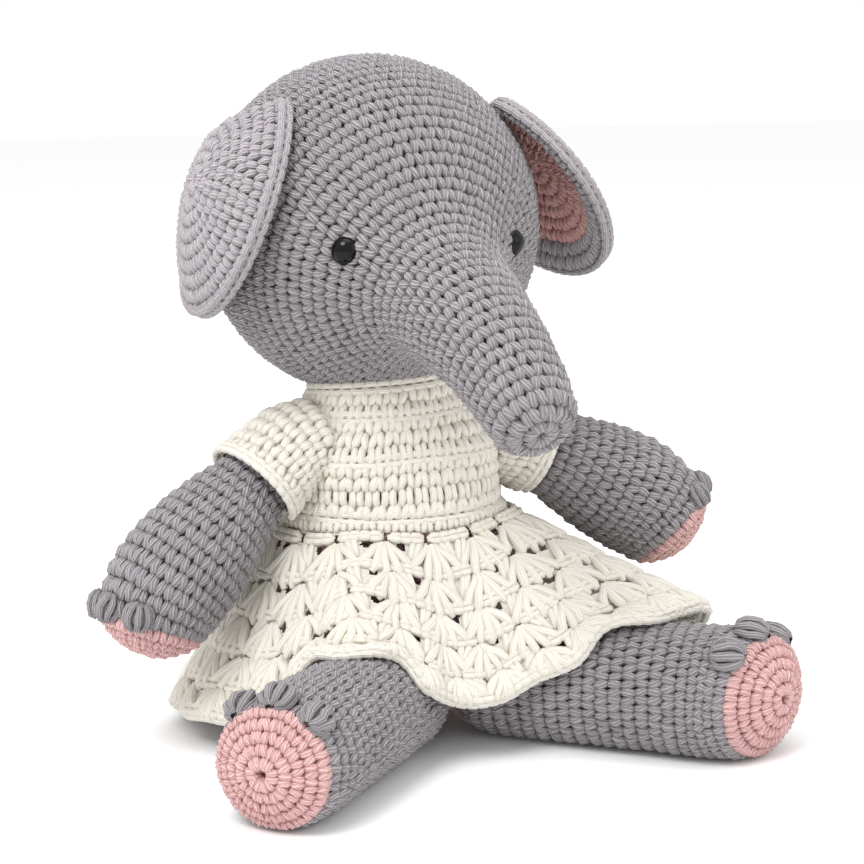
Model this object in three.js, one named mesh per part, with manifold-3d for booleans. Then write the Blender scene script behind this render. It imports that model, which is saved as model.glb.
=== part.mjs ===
import * as THREE from 'three';
import { mergeVertices } from 'three/addons/utils/BufferGeometryUtils.js';
import Module from 'manifold-3d';

// Crocheted elephant in a dress, sitting.  Millimetres, +Z up, it faces -Y, its right side is -X.

// ---- driving sizes ----
const FABRIC = 2.6;
const GAP = 0.4;
const HEAD_RADIUS = 58.5;
const HEAD_CENTRE = [-3.5, 8, 178];
const FACE_AXIS = [0, -0.959, -0.282];
const MUZZLE_END = 64;
const MUZZLE_END_RADIUS = 24;
const TRUNK_ROOT_AT = 68;
const TRUNK_ROOT_RADIUS = 20.6;
const TRUNK_TIP_RADIUS = 11.5;
const EYE_RADIUS = 5;
const EYE_SIDE = 30;
const EYE_FORWARD = -50;
const EYE_UP = -3;
const TORSO_DEPTH_RATIO = 0.9;
const TORSO_HEIGHT = 119;
const SEAT_RADIUS = 20;
const WAIST_HEIGHT = 79;
const DRESS_THICKNESS = 2.8;
const SLEEVE_LENGTH = 18;
const SLEEVE_RADIUS = 16.4;
const SLEEVE_WIDEN = 1.4;
const HEM_BAND = 0.86;
const EAR_RADIUS = 38;
const EAR_LINING_RADIUS = 28;
const EAR_LAYER = 2.2;
const EAR_CUT = 22;
const EAR_DROOP = 1.12;
const SOLE_DOME = 7;
const TOE_SIZE = [5.6, 4.6, 6];
const FINGER_SIZE = [4.8, 4.2, 5.2];
const DIGIT_SPREAD = 38;
const DIGIT_SINK = 1.4;

const GREY = '#a8a3a6';
const PINK = '#efb3b0';
const LINING = '#d99a95';
const WHITE = '#f3f1ea';
const FILL = '#f4f2ee';
const BLACK = '#0c0c0d';
const NYLON = '#e6e4de';

const wasm = await Module();
wasm.setup();
const { Manifold } = wasm;

const vec = (p) => new THREE.Vector3(...p);

function add(group, name, geometry, colour, roughness = 0.9) {
  const material = new THREE.MeshStandardMaterial({ color: colour, roughness });
  const mesh = new THREE.Mesh(geometry, material);
  mesh.name = name;
  group.add(mesh);
  return mesh;
}

function weld(geometry) {
  const bare = geometry.clone();
  bare.deleteAttribute('normal');
  bare.deleteAttribute('uv');
  const merged = mergeVertices(bare, 1e-4);
  const index = merged.index.array;
  const kept = [];
  for (let i = 0; i < index.length; i += 3) {
    const [a, b, c] = [index[i], index[i + 1], index[i + 2]];
    if (a !== b && b !== c && c !== a) {
      kept.push(a, b, c);
    }
  }
  merged.setIndex(kept);
  merged.computeVertexNormals();
  return merged;
}

function solid(geometry) {
  const welded = weld(geometry);
  const mesh = new wasm.Mesh({
    numProp: 3,
    vertProperties: new Float32Array(welded.attributes.position.array),
    triVerts: new Uint32Array(welded.index.array),
  });
  return new Manifold(mesh);
}

function geometryOf(body) {
  const mesh = body.getMesh();
  const geometry = new THREE.BufferGeometry();
  geometry.setAttribute('position', new THREE.BufferAttribute(new Float32Array(mesh.vertProperties), 3));
  geometry.setIndex(new THREE.BufferAttribute(new Uint32Array(mesh.triVerts), 1));
  geometry.computeVertexNormals();
  return geometry;
}

// smooth curve through [at, radius] pairs, read at any place along the axis
function radiusAlong(pairs) {
  const points = pairs.map(([at, radius]) => new THREE.Vector2(at, radius));
  return (at) => {
    let k = 0;
    while (k < points.length - 2 && at > points[k + 1].x) {
      k += 1;
    }
    const [a, b] = [points[k], points[k + 1]];
    const t = THREE.MathUtils.clamp((at - a.x) / (b.x - a.x), 0, 1);
    const before = points[Math.max(k - 1, 0)];
    const after = points[Math.min(k + 2, points.length - 1)];
    const slopeA = (b.y - before.y) / Math.max(b.x - before.x, 1e-6);
    const slopeB = (after.y - a.y) / Math.max(after.x - a.x, 1e-6);
    const h = b.x - a.x;
    const t2 = t * t;
    const t3 = t2 * t;
    return (2 * t3 - 3 * t2 + 1) * a.y + (t3 - 2 * t2 + t) * h * slopeA
      + (3 * t2 - 2 * t3) * b.y + (t3 - t2) * h * slopeB;
  };
}

// turns a shape made about +Y so that its axis follows a spine; the side called "up" is +X
function bend(geometry, spine, up) {
  const length = spine.getLength();
  const position = geometry.attributes.position;
  const reference = vec(up);
  for (let i = 0; i < position.count; i += 1) {
    const [x, y, z] = [position.getX(i), position.getY(i), position.getZ(i)];
    const u = THREE.MathUtils.clamp(y / length, 0, 1);
    const centre = spine.getPointAt(u);
    const tangent = spine.getTangentAt(u);
    centre.addScaledVector(tangent, y - u * length);
    const side = new THREE.Vector3().crossVectors(reference, tangent).normalize();
    const top = new THREE.Vector3().crossVectors(tangent, side);
    const p = centre.addScaledVector(top, x).addScaledVector(side, z);
    position.setXYZ(i, p.x, p.y, p.z);
  }
  return geometry;
}

function placeOn(geometry, spine, up, at, angle, radius) {
  const u = THREE.MathUtils.clamp(at / spine.getLength(), 0, 1);
  const tangent = spine.getTangentAt(u);
  const side = new THREE.Vector3().crossVectors(vec(up), tangent).normalize();
  const top = new THREE.Vector3().crossVectors(tangent, side);
  const anchor = spine.getPointAt(u).addScaledVector(tangent, at - u * spine.getLength());
  geometry.translate(radius, 0, 0);
  geometry.rotateY(THREE.MathUtils.degToRad(angle));
  geometry.applyMatrix4(new THREE.Matrix4().makeBasis(top, tangent, side));
  geometry.translate(anchor.x, anchor.y, anchor.z);
  return geometry;
}

function arc(radius, centre, from, to, steps) {
  const points = [];
  for (let i = 0; i <= steps; i += 1) {
    const a = from + (to - from) * (i / steps);
    points.push(new THREE.Vector2(Math.max(radius * Math.cos(a), 0), centre + radius * Math.sin(a)));
  }
  return points;
}

const group = new THREE.Group();
group.name = 'crocheted_elephant';

// ---- body ----
const torsoRadius = radiusAlong([
  [0, 22], [4, 26], [10, 28.3], [18, 30], [26, 32.6], [34, 35.6], [44, 38.8], [56, 40.6],
  [68, 40], [80, 37.4], [90, 33.6], [100, 29], [108, 25], [114, 22], [119, 20],
]);
const torsoHeights = [2, 8, 18, 32, 48, 62, 78, 92, 106, TORSO_HEIGHT];

function torsoWall(inset, low, high) {
  const points = [];
  for (const z of torsoHeights) {
    const height = THREE.MathUtils.clamp(z, low, high);
    points.push(new THREE.Vector2(torsoRadius(height) - inset, height));
  }
  return points;
}

function upright(points, segments) {
  const geometry = new THREE.LatheGeometry(points, segments);
  geometry.rotateX(Math.PI / 2);
  geometry.scale(1, TORSO_DEPTH_RATIO, 1);
  return geometry;
}

const bodyOutside = [new THREE.Vector2(0, 0), new THREE.Vector2(SEAT_RADIUS, 0), ...torsoWall(0, 2, TORSO_HEIGHT)];
const bodyInside = torsoWall(FABRIC, FABRIC + 1, TORSO_HEIGHT).reverse();
bodyInside.push(new THREE.Vector2(SEAT_RADIUS - 1, FABRIC));
bodyInside.push(new THREE.Vector2(0, FABRIC));
const cleaned = (points) => points.filter((p, i) => i === 0 || p.distanceTo(points[i - 1]) > 0.2);
add(group, 'body_cover', weld(upright(cleaned([...bodyOutside, ...bodyInside]), 20)), PINK);

const fillWall = torsoWall(FABRIC + GAP, FABRIC + GAP + 1.4, TORSO_HEIGHT - 1.5);
const bodyFill = cleaned([
  new THREE.Vector2(0, FABRIC + GAP),
  new THREE.Vector2(SEAT_RADIUS - 2, FABRIC + GAP),
  ...fillWall,
  new THREE.Vector2(0, TORSO_HEIGHT - 1.5),
]);
add(group, 'body_stuffing', weld(upright(bodyFill, 20)), FILL);

// ---- limbs ----
function limb(side, part, spec) {
  const spine = new THREE.CatmullRomCurve3(spec.spine.map(vec), false, 'centripetal');
  const length = spine.getLength();
  const rim = length - SOLE_DOME;
  const radius = radiusAlong(spec.radii.map(([t, r]) => [t * rim, r]));
  const root = spec.radii[0][1];
  const steps = 5;
  const outside = arc(root, 0, -Math.PI / 2, 0, 3);
  const inside = arc(root - FABRIC, 0, -Math.PI / 2, 0, 3);
  for (let i = 1; i <= steps; i += 1) {
    const at = rim * (i / steps);
    outside.push(new THREE.Vector2(radius(at), at));
    inside.push(new THREE.Vector2(radius(at) - FABRIC, at));
  }
  const cover = new THREE.LatheGeometry([...outside, ...inside.reverse()], 14);
  let coverBody = solid(bend(cover, spine, spec.up));

  const rimRadius = radius(rim);
  const dome = (r, height, from, n) => {
    const ball = (r * r + height * height) / (2 * height);
    const half = Math.asin(Math.min(r / ball, 1));
    return arc(ball, from + height - ball, Math.PI / 2 - half, Math.PI / 2, n);
  };
  const soleOut = dome(rimRadius, SOLE_DOME - GAP, rim + GAP, 3);
  const soleIn = dome(rimRadius - FABRIC, SOLE_DOME - GAP - FABRIC + 0.6, rim + GAP, 3).reverse();
  const sole = new THREE.LatheGeometry([new THREE.Vector2(0, soleIn[0].y), ...soleIn.slice(1), ...soleOut], 14);
  let soleBody = solid(bend(sole, spine, spec.up));

  const fill = arc(root - FABRIC - GAP, 0, -Math.PI / 2, 0, 3);
  for (let i = 1; i <= steps; i += 1) {
    const at = rim * (i / steps) - (i === steps ? 1 : 0);
    fill.push(new THREE.Vector2(radius(rim * (i / steps)) - FABRIC - GAP, at));
  }
  fill.push(new THREE.Vector2(0, rim + 1.2));
  const stuffing = new THREE.LatheGeometry(fill, 14);
  add(group, `${part}_${side}_stuffing`, weld(bend(stuffing, spine, spec.up)), FILL);

  for (let i = 0; i < 3; i += 1) {
    const [wide, thick, long] = spec.digitSize;
    const at = rim - long * 0.6;
    const angle = (i - 1) * DIGIT_SPREAD;
    const out = radius(at) + thick - DIGIT_SINK;
    const digit = (grow) => {
      const shape = new THREE.SphereGeometry(1, 8, 6);
      shape.scale(thick + grow, long + grow, wide + grow);
      return placeOn(shape, spine, spec.up, at, angle, out);
    };
    const pocket = solid(digit(0.3));
    coverBody = coverBody.subtract(pocket);
    soleBody = soleBody.subtract(pocket);
    add(group, `${spec.digit}_${side}_${i + 1}`, weld(digit(0)), GREY);
  }
  add(group, `${part}_${side}_cover`, geometryOf(coverBody), GREY);
  add(group, `${spec.sole}_${side}`, geometryOf(soleBody), PINK);
}

const LEG_RADII = [[0, 18.4], [0.25, 19], [0.6, 19.6], [0.88, 19.8], [1, 18.4]];
const ARM_RADII = [[0, 10], [0.22, 11.6], [0.42, 16], [0.6, 18.8], [0.85, 19], [1, 16.2]];
limb('right', 'leg', {
  spine: [[-18, -43, 18.6], [-42, -64.5, 19.4], [-66, -85.5, 19.8], [-90, -106.5, 19.8]],
  radii: LEG_RADII,
  up: [0, 0, 1],
  sole: 'foot_sole',
  digit: 'toe',
  digitSize: TOE_SIZE,
});
limb('left', 'leg', {
  spine: [[27, -43, 18.6], [51, -65, 19.8], [75, -88, 20.6], [98.5, -111, 21]],
  radii: LEG_RADII.map(([t, r]) => [t, r + 1.1 * t]),
  up: [0, 0, 1],
  sole: 'foot_sole',
  digit: 'toe',
  digitSize: TOE_SIZE,
});
const ARM_SPINES = {
  right: [[-40.5, -3, 99.5], [-57, -5.5, 87.5], [-76, -9, 70.5], [-91, -11.5, 53.5], [-98.5, -13.5, 37]],
  left: [[40.5, -5, 101], [57, -8.5, 94], [76, -13.5, 84.5], [95, -19, 73.5], [110, -26, 58]],
};
for (const [side, sign] of [['right', -1], ['left', 1]]) {
  limb(side, 'arm', {
    spine: ARM_SPINES[side],
    radii: ARM_RADII,
    up: [sign, -0.3, 0.6],
    sole: 'palm',
    digit: 'finger',
    digitSize: FINGER_SIZE,
  });
}

// ---- dress bodice with cap sleeves ----
function ball(centre, radius, widen) {
  return Manifold.sphere(radius, 16).scale([1, widen, 1]).translate(centre.toArray());
}

function bodyOfDress(inset, low, high) {
  const heights = [low, 92, 106, high];
  const points = heights.map((z) => new THREE.Vector2(torsoRadius(z) + inset, z));
  return solid(upright([new THREE.Vector2(0, low), ...points, new THREE.Vector2(0, high)], 20));
}

function sleeve(side, grow, start, reach) {
  const shoulder = vec(ARM_SPINES[side][0]);
  const along = vec(ARM_SPINES[side][1]).sub(shoulder).normalize();
  const inner = new THREE.Vector3(shoulder.x * start, -3.5, THREE.MathUtils.mapLinear(start, 0.6, 1, 104.5, 99.5));
  return Manifold.hull([
    ball(inner, SLEEVE_RADIUS + grow - 2.1, SLEEVE_WIDEN),
    ball(shoulder.clone().addScaledVector(along, reach), SLEEVE_RADIUS + grow, SLEEVE_WIDEN),
  ]);
}

let bodice = bodyOfDress(0.6 + DRESS_THICKNESS, WAIST_HEIGHT, TORSO_HEIGHT);
for (const side of ['right', 'left']) {
  bodice = bodice.add(sleeve(side, 0, 0.64, SLEEVE_LENGTH));
}
for (const side of ['right', 'left']) {
  const shoulder = vec(ARM_SPINES[side][0]);
  const out = vec(ARM_SPINES[side][1]).sub(shoulder).setY(0).normalize();
  bodice = bodice.trimByPlane([-out.x, -out.y, -out.z], -out.dot(shoulder) - SLEEVE_LENGTH);
  bodice = bodice.subtract(sleeve(side, 0.5 - DRESS_THICKNESS, 0.92, SLEEVE_LENGTH + 12));
}
bodice = bodice.subtract(bodyOfDress(0.6, WAIST_HEIGHT - 1, TORSO_HEIGHT + 1));
bodice = bodice.trimByPlane([0, 0, 1], WAIST_HEIGHT);
bodice = bodice.trimByPlane([0, 0, -1], -TORSO_HEIGHT);
add(group, 'dress_bodice', geometryOf(bodice), WHITE);

// ---- dress skirt, lying over the legs ----
const HEM = [
  [-180, 76, 6], [-140, 74, 6], [-105, 76, 7], [-80, 78, 16], [-58, 74, 30], [-38, 77, 43],
  [-20, 72, 35], [-4, 70, 22], [14, 74, 25], [28, 88, 38], [40, 103, 46],
  [54, 113, 44], [72, 115, 30], [95, 106, 12], [130, 86, 6], [180, 76, 6],
];
const LEG_LINES = [
  { from: [-18, -43], to: [-90, -106.5], radius: 20.2 },
  { from: [27, -43], to: [98.5, -111], radius: 21.8 },
];

function hemAt(degrees) {
  const ring = HEM.map(([a, r, z]) => [a, r, z]);
  const radius = radiusAlong(ring.map(([a, r]) => [a, r]));
  const height = radiusAlong(ring.map(([a, , z]) => [a, z]));
  return [radius(degrees), height(degrees)];
}

function overLegs(x, y, z) {
  let lifted = z;
  for (const leg of LEG_LINES) {
    const [ax, ay] = leg.from;
    const [dx, dy] = [leg.to[0] - ax, leg.to[1] - ay];
    const length = Math.hypot(dx, dy);
    const along = ((x - ax) * dx + (y - ay) * dy) / length;
    const across = Math.abs((x - ax) * dy - (y - ay) * dx) / length;
    const past = Math.max(-along, 0);
    const away = Math.hypot(across, past);
    const fall = THREE.MathUtils.smoothstep(away, leg.radius * 0.6, leg.radius * 2.1);
    const top = 2 * leg.radius + 3.4;
    lifted = Math.max(lifted, top - fall * (top - 4));
  }
  return lifted;
}

function skirtPoint(degrees, t) {
  const [hemRadius, hemHeight] = hemAt(degrees);
  const a = THREE.MathUtils.degToRad(degrees);
  const waist = torsoRadius(WAIST_HEIGHT) + 0.6 + DRESS_THICKNESS / 2;
  const r = waist + (hemRadius - waist) * t;
  const flat = THREE.MathUtils.lerp(TORSO_DEPTH_RATIO, 1, Math.min(t * 2, 1));
  const x = r * Math.sin(a);
  const y = -r * Math.cos(a) * flat;
  const top = WAIST_HEIGHT - 1.7;
  const z = top + (hemHeight - top) * t;
  return new THREE.Vector3(x, y, overLegs(x, y, z));
}

function skirtNormal(degrees, t) {
  const step = 0.02;
  const along = skirtPoint(degrees, t + step).sub(skirtPoint(degrees, t - step));
  const around = skirtPoint(degrees + 1.5, t).sub(skirtPoint(degrees - 1.5, t));
  return around.cross(along).normalize().negate();
}

function sheet(from, to, rows, columns, thickness) {
  const positions = [];
  const index = [];
  const layers = [thickness / 2, -thickness / 2];
  for (const offset of layers) {
    for (let j = 0; j <= rows; j += 1) {
      for (let i = 0; i < columns; i += 1) {
        const degrees = -180 + (360 * i) / columns;
        const t = from + (to - from) * (j / rows);
        const normal = skirtNormal(degrees, t);
        const p = skirtPoint(degrees, t).addScaledVector(normal, offset);
        positions.push(p.x, p.y, p.z);
      }
    }
  }
  const layerSize = (rows + 1) * columns;
  const at = (layer, j, i) => layer * layerSize + j * columns + (i % columns);
  const quad = (a, b, c, d) => index.push(a, b, c, a, c, d);
  for (let i = 0; i < columns; i += 1) {
    for (let j = 0; j < rows; j += 1) {
      quad(at(0, j, i), at(0, j + 1, i), at(0, j + 1, i + 1), at(0, j, i + 1));
      quad(at(1, j, i), at(1, j, i + 1), at(1, j + 1, i + 1), at(1, j + 1, i));
    }
    quad(at(0, 0, i), at(0, 0, i + 1), at(1, 0, i + 1), at(1, 0, i));
    quad(at(0, rows, i), at(1, rows, i), at(1, rows, i + 1), at(0, rows, i + 1));
  }
  const geometry = new THREE.BufferGeometry();
  geometry.setAttribute('position', new THREE.BufferAttribute(new Float32Array(positions), 3));
  geometry.setIndex(index);
  geometry.computeVertexNormals();
  return geometry;
}

add(group, 'dress_skirt', sheet(0.005, HEM_BAND - 0.012, 5, 44, DRESS_THICKNESS), WHITE);
add(group, 'dress_hem', sheet(HEM_BAND + 0.018, 1, 1, 44, DRESS_THICKNESS - 0.4), WHITE);

// ---- head ----
const headSpine = new THREE.LineCurve3(
  vec(HEAD_CENTRE),
  vec(HEAD_CENTRE).addScaledVector(vec(FACE_AXIS).normalize(), TRUNK_ROOT_AT),
);
const faceRadius = radiusAlong([
  [38, Math.sqrt(HEAD_RADIUS ** 2 - 38 ** 2)], [44, 39], [50, 33.4], [56, 28.6], [MUZZLE_END, MUZZLE_END_RADIUS],
]);
const FACE_STEPS = [38, 44, 50, 57, MUZZLE_END];
const fromBack = -Math.PI / 2;
const toFace = Math.asin(38 / HEAD_RADIUS);

function headWall(inset, end) {
  const points = arc(HEAD_RADIUS - inset, 0, fromBack, toFace, 8);
  for (const at of FACE_STEPS.filter((s) => s > 38 && s < end - 1)) {
    points.push(new THREE.Vector2(faceRadius(at) - inset, at));
  }
  points.push(new THREE.Vector2(faceRadius(end) - inset, end));
  return points;
}

const SEAT_OF_TRUNK = TRUNK_ROOT_RADIUS + 0.7;
const lipAt = (at) => Math.sqrt(SEAT_OF_TRUNK ** 2 - (TRUNK_ROOT_AT - at) ** 2);
const headInside = headWall(FABRIC, 56);
headInside.pop();
const mouth = [new THREE.Vector2(lipAt(MUZZLE_END), MUZZLE_END), new THREE.Vector2(lipAt(60), 60)];
mouth.push(new THREE.Vector2(lipAt(57), 57));
const headProfile = [...headWall(0, MUZZLE_END), ...mouth, ...headInside.reverse()];
const coverGeometry = bend(new THREE.LatheGeometry(headProfile, 22), headSpine, [0, 0, 1]);

const fillEnd = TRUNK_ROOT_AT - SEAT_OF_TRUNK - 1.5;
const headFill = arc(HEAD_RADIUS - FABRIC - GAP, 0, fromBack, toFace, 8);
headFill.push(new THREE.Vector2(faceRadius(fillEnd) - FABRIC - GAP - 0.4, fillEnd));
headFill.push(new THREE.Vector2(0, fillEnd));
const fillGeometry = bend(new THREE.LatheGeometry(headFill, 22), headSpine, [0, 0, 1]);

let headCover = solid(coverGeometry);
let headStuffing = solid(fillGeometry);

function eyeMatrix(sign) {
  const place = new THREE.Vector3(sign * EYE_SIDE, EYE_FORWARD, EYE_UP);
  const outward = place.clone().normalize();
  const turn = new THREE.Quaternion().setFromUnitVectors(new THREE.Vector3(0, 1, 0), outward);
  const seat = vec(HEAD_CENTRE).addScaledVector(outward, HEAD_RADIUS + 1.1);
  return new THREE.Matrix4().compose(seat, turn, new THREE.Vector3(1, 1, 1));
}

function cylinderAt(matrix, radius, low, high) {
  const geometry = new THREE.CylinderGeometry(radius, radius, high - low, 10);
  geometry.translate(0, (low + high) / 2, 0);
  geometry.applyMatrix4(matrix);
  return solid(geometry);
}

for (const [side, sign] of [['right', -1], ['left', 1]]) {
  const matrix = eyeMatrix(sign);
  const post = 1.7;
  const profile = [
    new THREE.Vector2(0, -7.4),
    new THREE.Vector2(post, -7.4),
    new THREE.Vector2(post, 0),
    ...arc(EYE_RADIUS, 0, 0, Math.PI / 2, 5).map((p) => new THREE.Vector2(p.x, p.y * 0.84)),
  ];
  const eye = new THREE.LatheGeometry(profile, 16);
  eye.applyMatrix4(matrix);
  add(group, `eye_${side}`, weld(eye), BLACK, 0.12);
  const ring = [
    new THREE.Vector2(post + 0.3, -6.6),
    new THREE.Vector2(5, -6.6),
    new THREE.Vector2(5, -5.4),
    new THREE.Vector2(post + 0.3, -5.4),
    new THREE.Vector2(post + 0.3, -6.6),
  ];
  const washer = new THREE.LatheGeometry(ring, 12);
  washer.applyMatrix4(matrix);
  add(group, `eye_washer_${side}`, weld(washer), NYLON, 0.5);
  headCover = headCover.subtract(cylinderAt(matrix, post + 0.35, -9, 9));
  headCover = headCover.subtract(cylinderAt(matrix, EYE_RADIUS + 0.3, -0.35, 9));
  headCover = headCover.subtract(cylinderAt(matrix, 5.5, -12, -5.0));
  headStuffing = headStuffing.subtract(cylinderAt(matrix, 5.8, -8.2, 12));
}
add(group, 'head_cover', geometryOf(headCover), GREY);
add(group, 'head_stuffing', geometryOf(headStuffing), FILL);

// ---- trunk ----
const trunkSpine = new THREE.CatmullRomCurve3([
  vec(HEAD_CENTRE).addScaledVector(vec(FACE_AXIS).normalize(), TRUNK_ROOT_AT),
  vec([-3.2, -76, 152.2]),
  vec([-2.6, -93, 144]),
  vec([-2, -108, 134.5]),
  vec([-2, -122, 124]),
], false, 'centripetal');
const trunkLength = trunkSpine.getLength();
const trunkRadius = radiusAlong([
  [0, TRUNK_ROOT_RADIUS], [18, 18], [38, 15.6], [58, 13.4], [trunkLength - 8, TRUNK_TIP_RADIUS + 0.6],
  [trunkLength - 2.5, TRUNK_TIP_RADIUS - 1.2],
]);

function trunkWall(inset, low) {
  const points = arc(TRUNK_ROOT_RADIUS - inset, 0, low, 0, 3);
  for (const at of [14, 28, 42, 56, trunkLength - 8, trunkLength - 2.5]) {
    points.push(new THREE.Vector2(trunkRadius(at) - inset, at));
  }
  return points;
}

const trunkInside = trunkWall(FABRIC, -0.62).reverse();
const trunkProfile = [
  ...trunkWall(0, -0.62),
  new THREE.Vector2(0, trunkLength),
  new THREE.Vector2(0, trunkLength - FABRIC),
  ...trunkInside.slice(1),
  trunkWall(0, -0.62)[0],
];
add(group, 'trunk_cover', weld(bend(new THREE.LatheGeometry(trunkProfile, 16), trunkSpine, [0, 0, 1])), GREY);
const trunkFill = [new THREE.Vector2(0, -11.5), ...trunkWall(FABRIC + GAP, -0.6).slice(0, -1)];
trunkFill.push(new THREE.Vector2(0, trunkLength - 8));
add(group, 'trunk_stuffing', weld(bend(new THREE.LatheGeometry(trunkFill, 16), trunkSpine, [0, 0, 1])), FILL);

// ---- ears ----
function capRing(inner, outer, top, bottom, steps) {
  const up = [];
  const down = [];
  for (let i = 0; i <= steps; i += 1) {
    const r = inner + (outer - inner) * (i / steps);
    const drop = (ball) => Math.sqrt(ball * ball - r * r) - top;
    up.push(new THREE.Vector2(r, drop(top)));
    down.push(new THREE.Vector2(r, drop(top) - (top - bottom)));
  }
  const profile = [...up, ...down.reverse()];
  if (inner > 0) {
    profile.push(up[0].clone());
  }
  return new THREE.LatheGeometry(profile.reverse(), 22);
}

const EAR_BALL = HEAD_RADIUS + 1.2 + 2 * EAR_LAYER + 0.3;
for (const [side, sign, flare] of [['right', -1, 6], ['left', 1, 24]]) {
  const out = new THREE.Vector3(sign * 0.965, -0.06, 0.262).normalize();
  const line = new THREE.Vector3(sign * -0.099, -0.896, 0.432);
  line.addScaledVector(out, -line.dot(out)).normalize();
  const down = new THREE.Vector3().crossVectors(out, line).multiplyScalar(sign).normalize();
  const layers = [
    ['ear_back', 0, EAR_RADIUS, 0, GREY],
    ['ear_rim', EAR_LINING_RADIUS + 0.4, EAR_RADIUS, EAR_LAYER + 0.3, GREY],
    ['ear_lining', 0, EAR_LINING_RADIUS, EAR_LAYER + 0.3, LINING],
  ];
  const hinge = out.clone().multiplyScalar(EAR_BALL - 8).addScaledVector(down, -EAR_CUT);
  const turn = new THREE.Quaternion().setFromAxisAngle(line, THREE.MathUtils.degToRad(flare * sign));
  for (const [name, inner, outer, depth, colour] of layers) {
    const disc = capRing(inner, outer, EAR_BALL, EAR_BALL - EAR_LAYER, inner > 0 ? 2 : 4);
    disc.translate(0, -depth, 0);
    const position = disc.attributes.position;
    for (let i = 0; i < position.count; i += 1) {
      const b = position.getZ(i);
      position.setZ(i, b > 0 ? b * EAR_DROOP : b);
    }
    const trimmed = solid(disc).trimByPlane([0, 0, 1], -EAR_CUT);
    const geometry = geometryOf(trimmed);
    const across = new THREE.Vector3().crossVectors(out, down);
    geometry.applyMatrix4(new THREE.Matrix4().makeBasis(across, out, down));
    geometry.translate(out.x * EAR_BALL, out.y * EAR_BALL, out.z * EAR_BALL);
    geometry.translate(-hinge.x, -hinge.y, -hinge.z);
    geometry.applyQuaternion(turn);
    geometry.translate(hinge.x, hinge.y, hinge.z);
    geometry.translate(...HEAD_CENTRE);
    add(group, `${name}_${side}`, geometry, colour);
  }
}

export default group;
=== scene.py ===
"""A crocheted elephant sitting in a lace dress, rebuilt piece by piece on its frame.

Lengths are millimetres unless a name ends in _m.  +Z is up, the elephant faces -Y and its right side is -X.
"""
import math

import bmesh
import bpy
import numpy as np
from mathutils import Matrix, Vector


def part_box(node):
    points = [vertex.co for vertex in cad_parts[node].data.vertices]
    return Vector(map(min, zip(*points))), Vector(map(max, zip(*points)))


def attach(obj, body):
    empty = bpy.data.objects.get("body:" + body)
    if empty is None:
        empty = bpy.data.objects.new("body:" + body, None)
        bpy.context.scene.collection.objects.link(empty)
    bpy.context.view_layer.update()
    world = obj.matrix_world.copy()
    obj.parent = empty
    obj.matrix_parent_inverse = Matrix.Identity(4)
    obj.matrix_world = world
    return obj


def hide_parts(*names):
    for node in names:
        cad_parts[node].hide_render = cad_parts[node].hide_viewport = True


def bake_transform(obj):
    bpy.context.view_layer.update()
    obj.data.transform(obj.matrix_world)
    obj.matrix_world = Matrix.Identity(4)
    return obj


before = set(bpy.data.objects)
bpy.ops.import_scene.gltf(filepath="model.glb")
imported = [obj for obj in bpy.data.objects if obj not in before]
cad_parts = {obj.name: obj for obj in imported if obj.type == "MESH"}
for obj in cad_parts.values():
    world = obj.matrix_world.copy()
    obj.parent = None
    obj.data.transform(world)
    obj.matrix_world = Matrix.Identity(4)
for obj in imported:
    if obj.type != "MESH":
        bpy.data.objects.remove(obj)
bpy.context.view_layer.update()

bl_info = {
    "name": "Crocheted elephant",
    "version": (1, 0, 0),
    "blender": (4, 5, 0),
    "location": "View3D > Sidebar > Elephant",
    "description": "Builds a crocheted toy elephant stitch by stitch",
    "category": "Object",
}

MM = 0.001
CLOTH_OFF_FLOOR = 0.3
SEAM_GAP = 0.02
SIDES = ("right", "left")
SIGN = {"right": -1.0, "left": 1.0}
RNG = np.random.default_rng(7)  # the small unevenness of hand work


# ---------------------------------------------------------------- settings
def length(label, note, default):
    """A millimetre setting."""
    return bpy.props.FloatProperty(name=label, description=note, default=default, min=0.01, unit="NONE")


def srgb(code):
    """sRGB hex code to linear red, green and blue."""
    parts = [int(code[i : i + 2], 16) / 255 for i in (1, 3, 5)]
    return tuple(c / 12.92 if c <= 0.04045 else ((c + 0.055) / 1.055) ** 2.4 for c in parts)


def colour(label, note, code):
    """A colour setting given as an sRGB hex code."""
    return bpy.props.FloatVectorProperty(
        name=label, description=note, default=srgb(code), subtype="COLOR", size=3, min=0.0, max=1.0
    )


class ElephantSizes(bpy.types.PropertyGroup):
    """Stitch sizes and stage sizes."""

    pitch: length("Stitch width", "Width of a single crochet stitch, mm", 5.3)
    row: length("Row height", "Height of a round of single crochet, mm", 4.7)
    yarn: length("Yarn radius", "Radius of the plumped yarn, mm", 1.42)
    sink: length("Cloth depth", "Depth of the backing cloth under the outline, mm", 0.9)
    dress_yarn: length("Dress yarn radius", "Radius of the dress yarn, mm", 1.38)
    post: length("Post spacing", "Spacing of the tall stitches in the bodice, mm", 5.7)
    fan: length("Fan spacing", "Spacing of the lace fans around the skirt, mm", 17.5)


class ElephantColours(bpy.types.PropertyGroup):
    """Yarn, eye and stage colours."""

    grey: colour("Grey yarn", "Head, arms, legs and ears", "#b0aaae")
    pink: colour("Pink yarn", "Body, palms and soles", "#f9c5c2")
    lining: colour("Ear lining", "Dusty pink inside the ears", "#f9beb8")
    white: colour("White yarn", "Dress", "#d9d5cb")
    black: colour("Eye plastic", "Glossy safety eyes", "#08080a")
    floor: colour("Floor", "Pale studio floor", "#fbfbfb")


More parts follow.
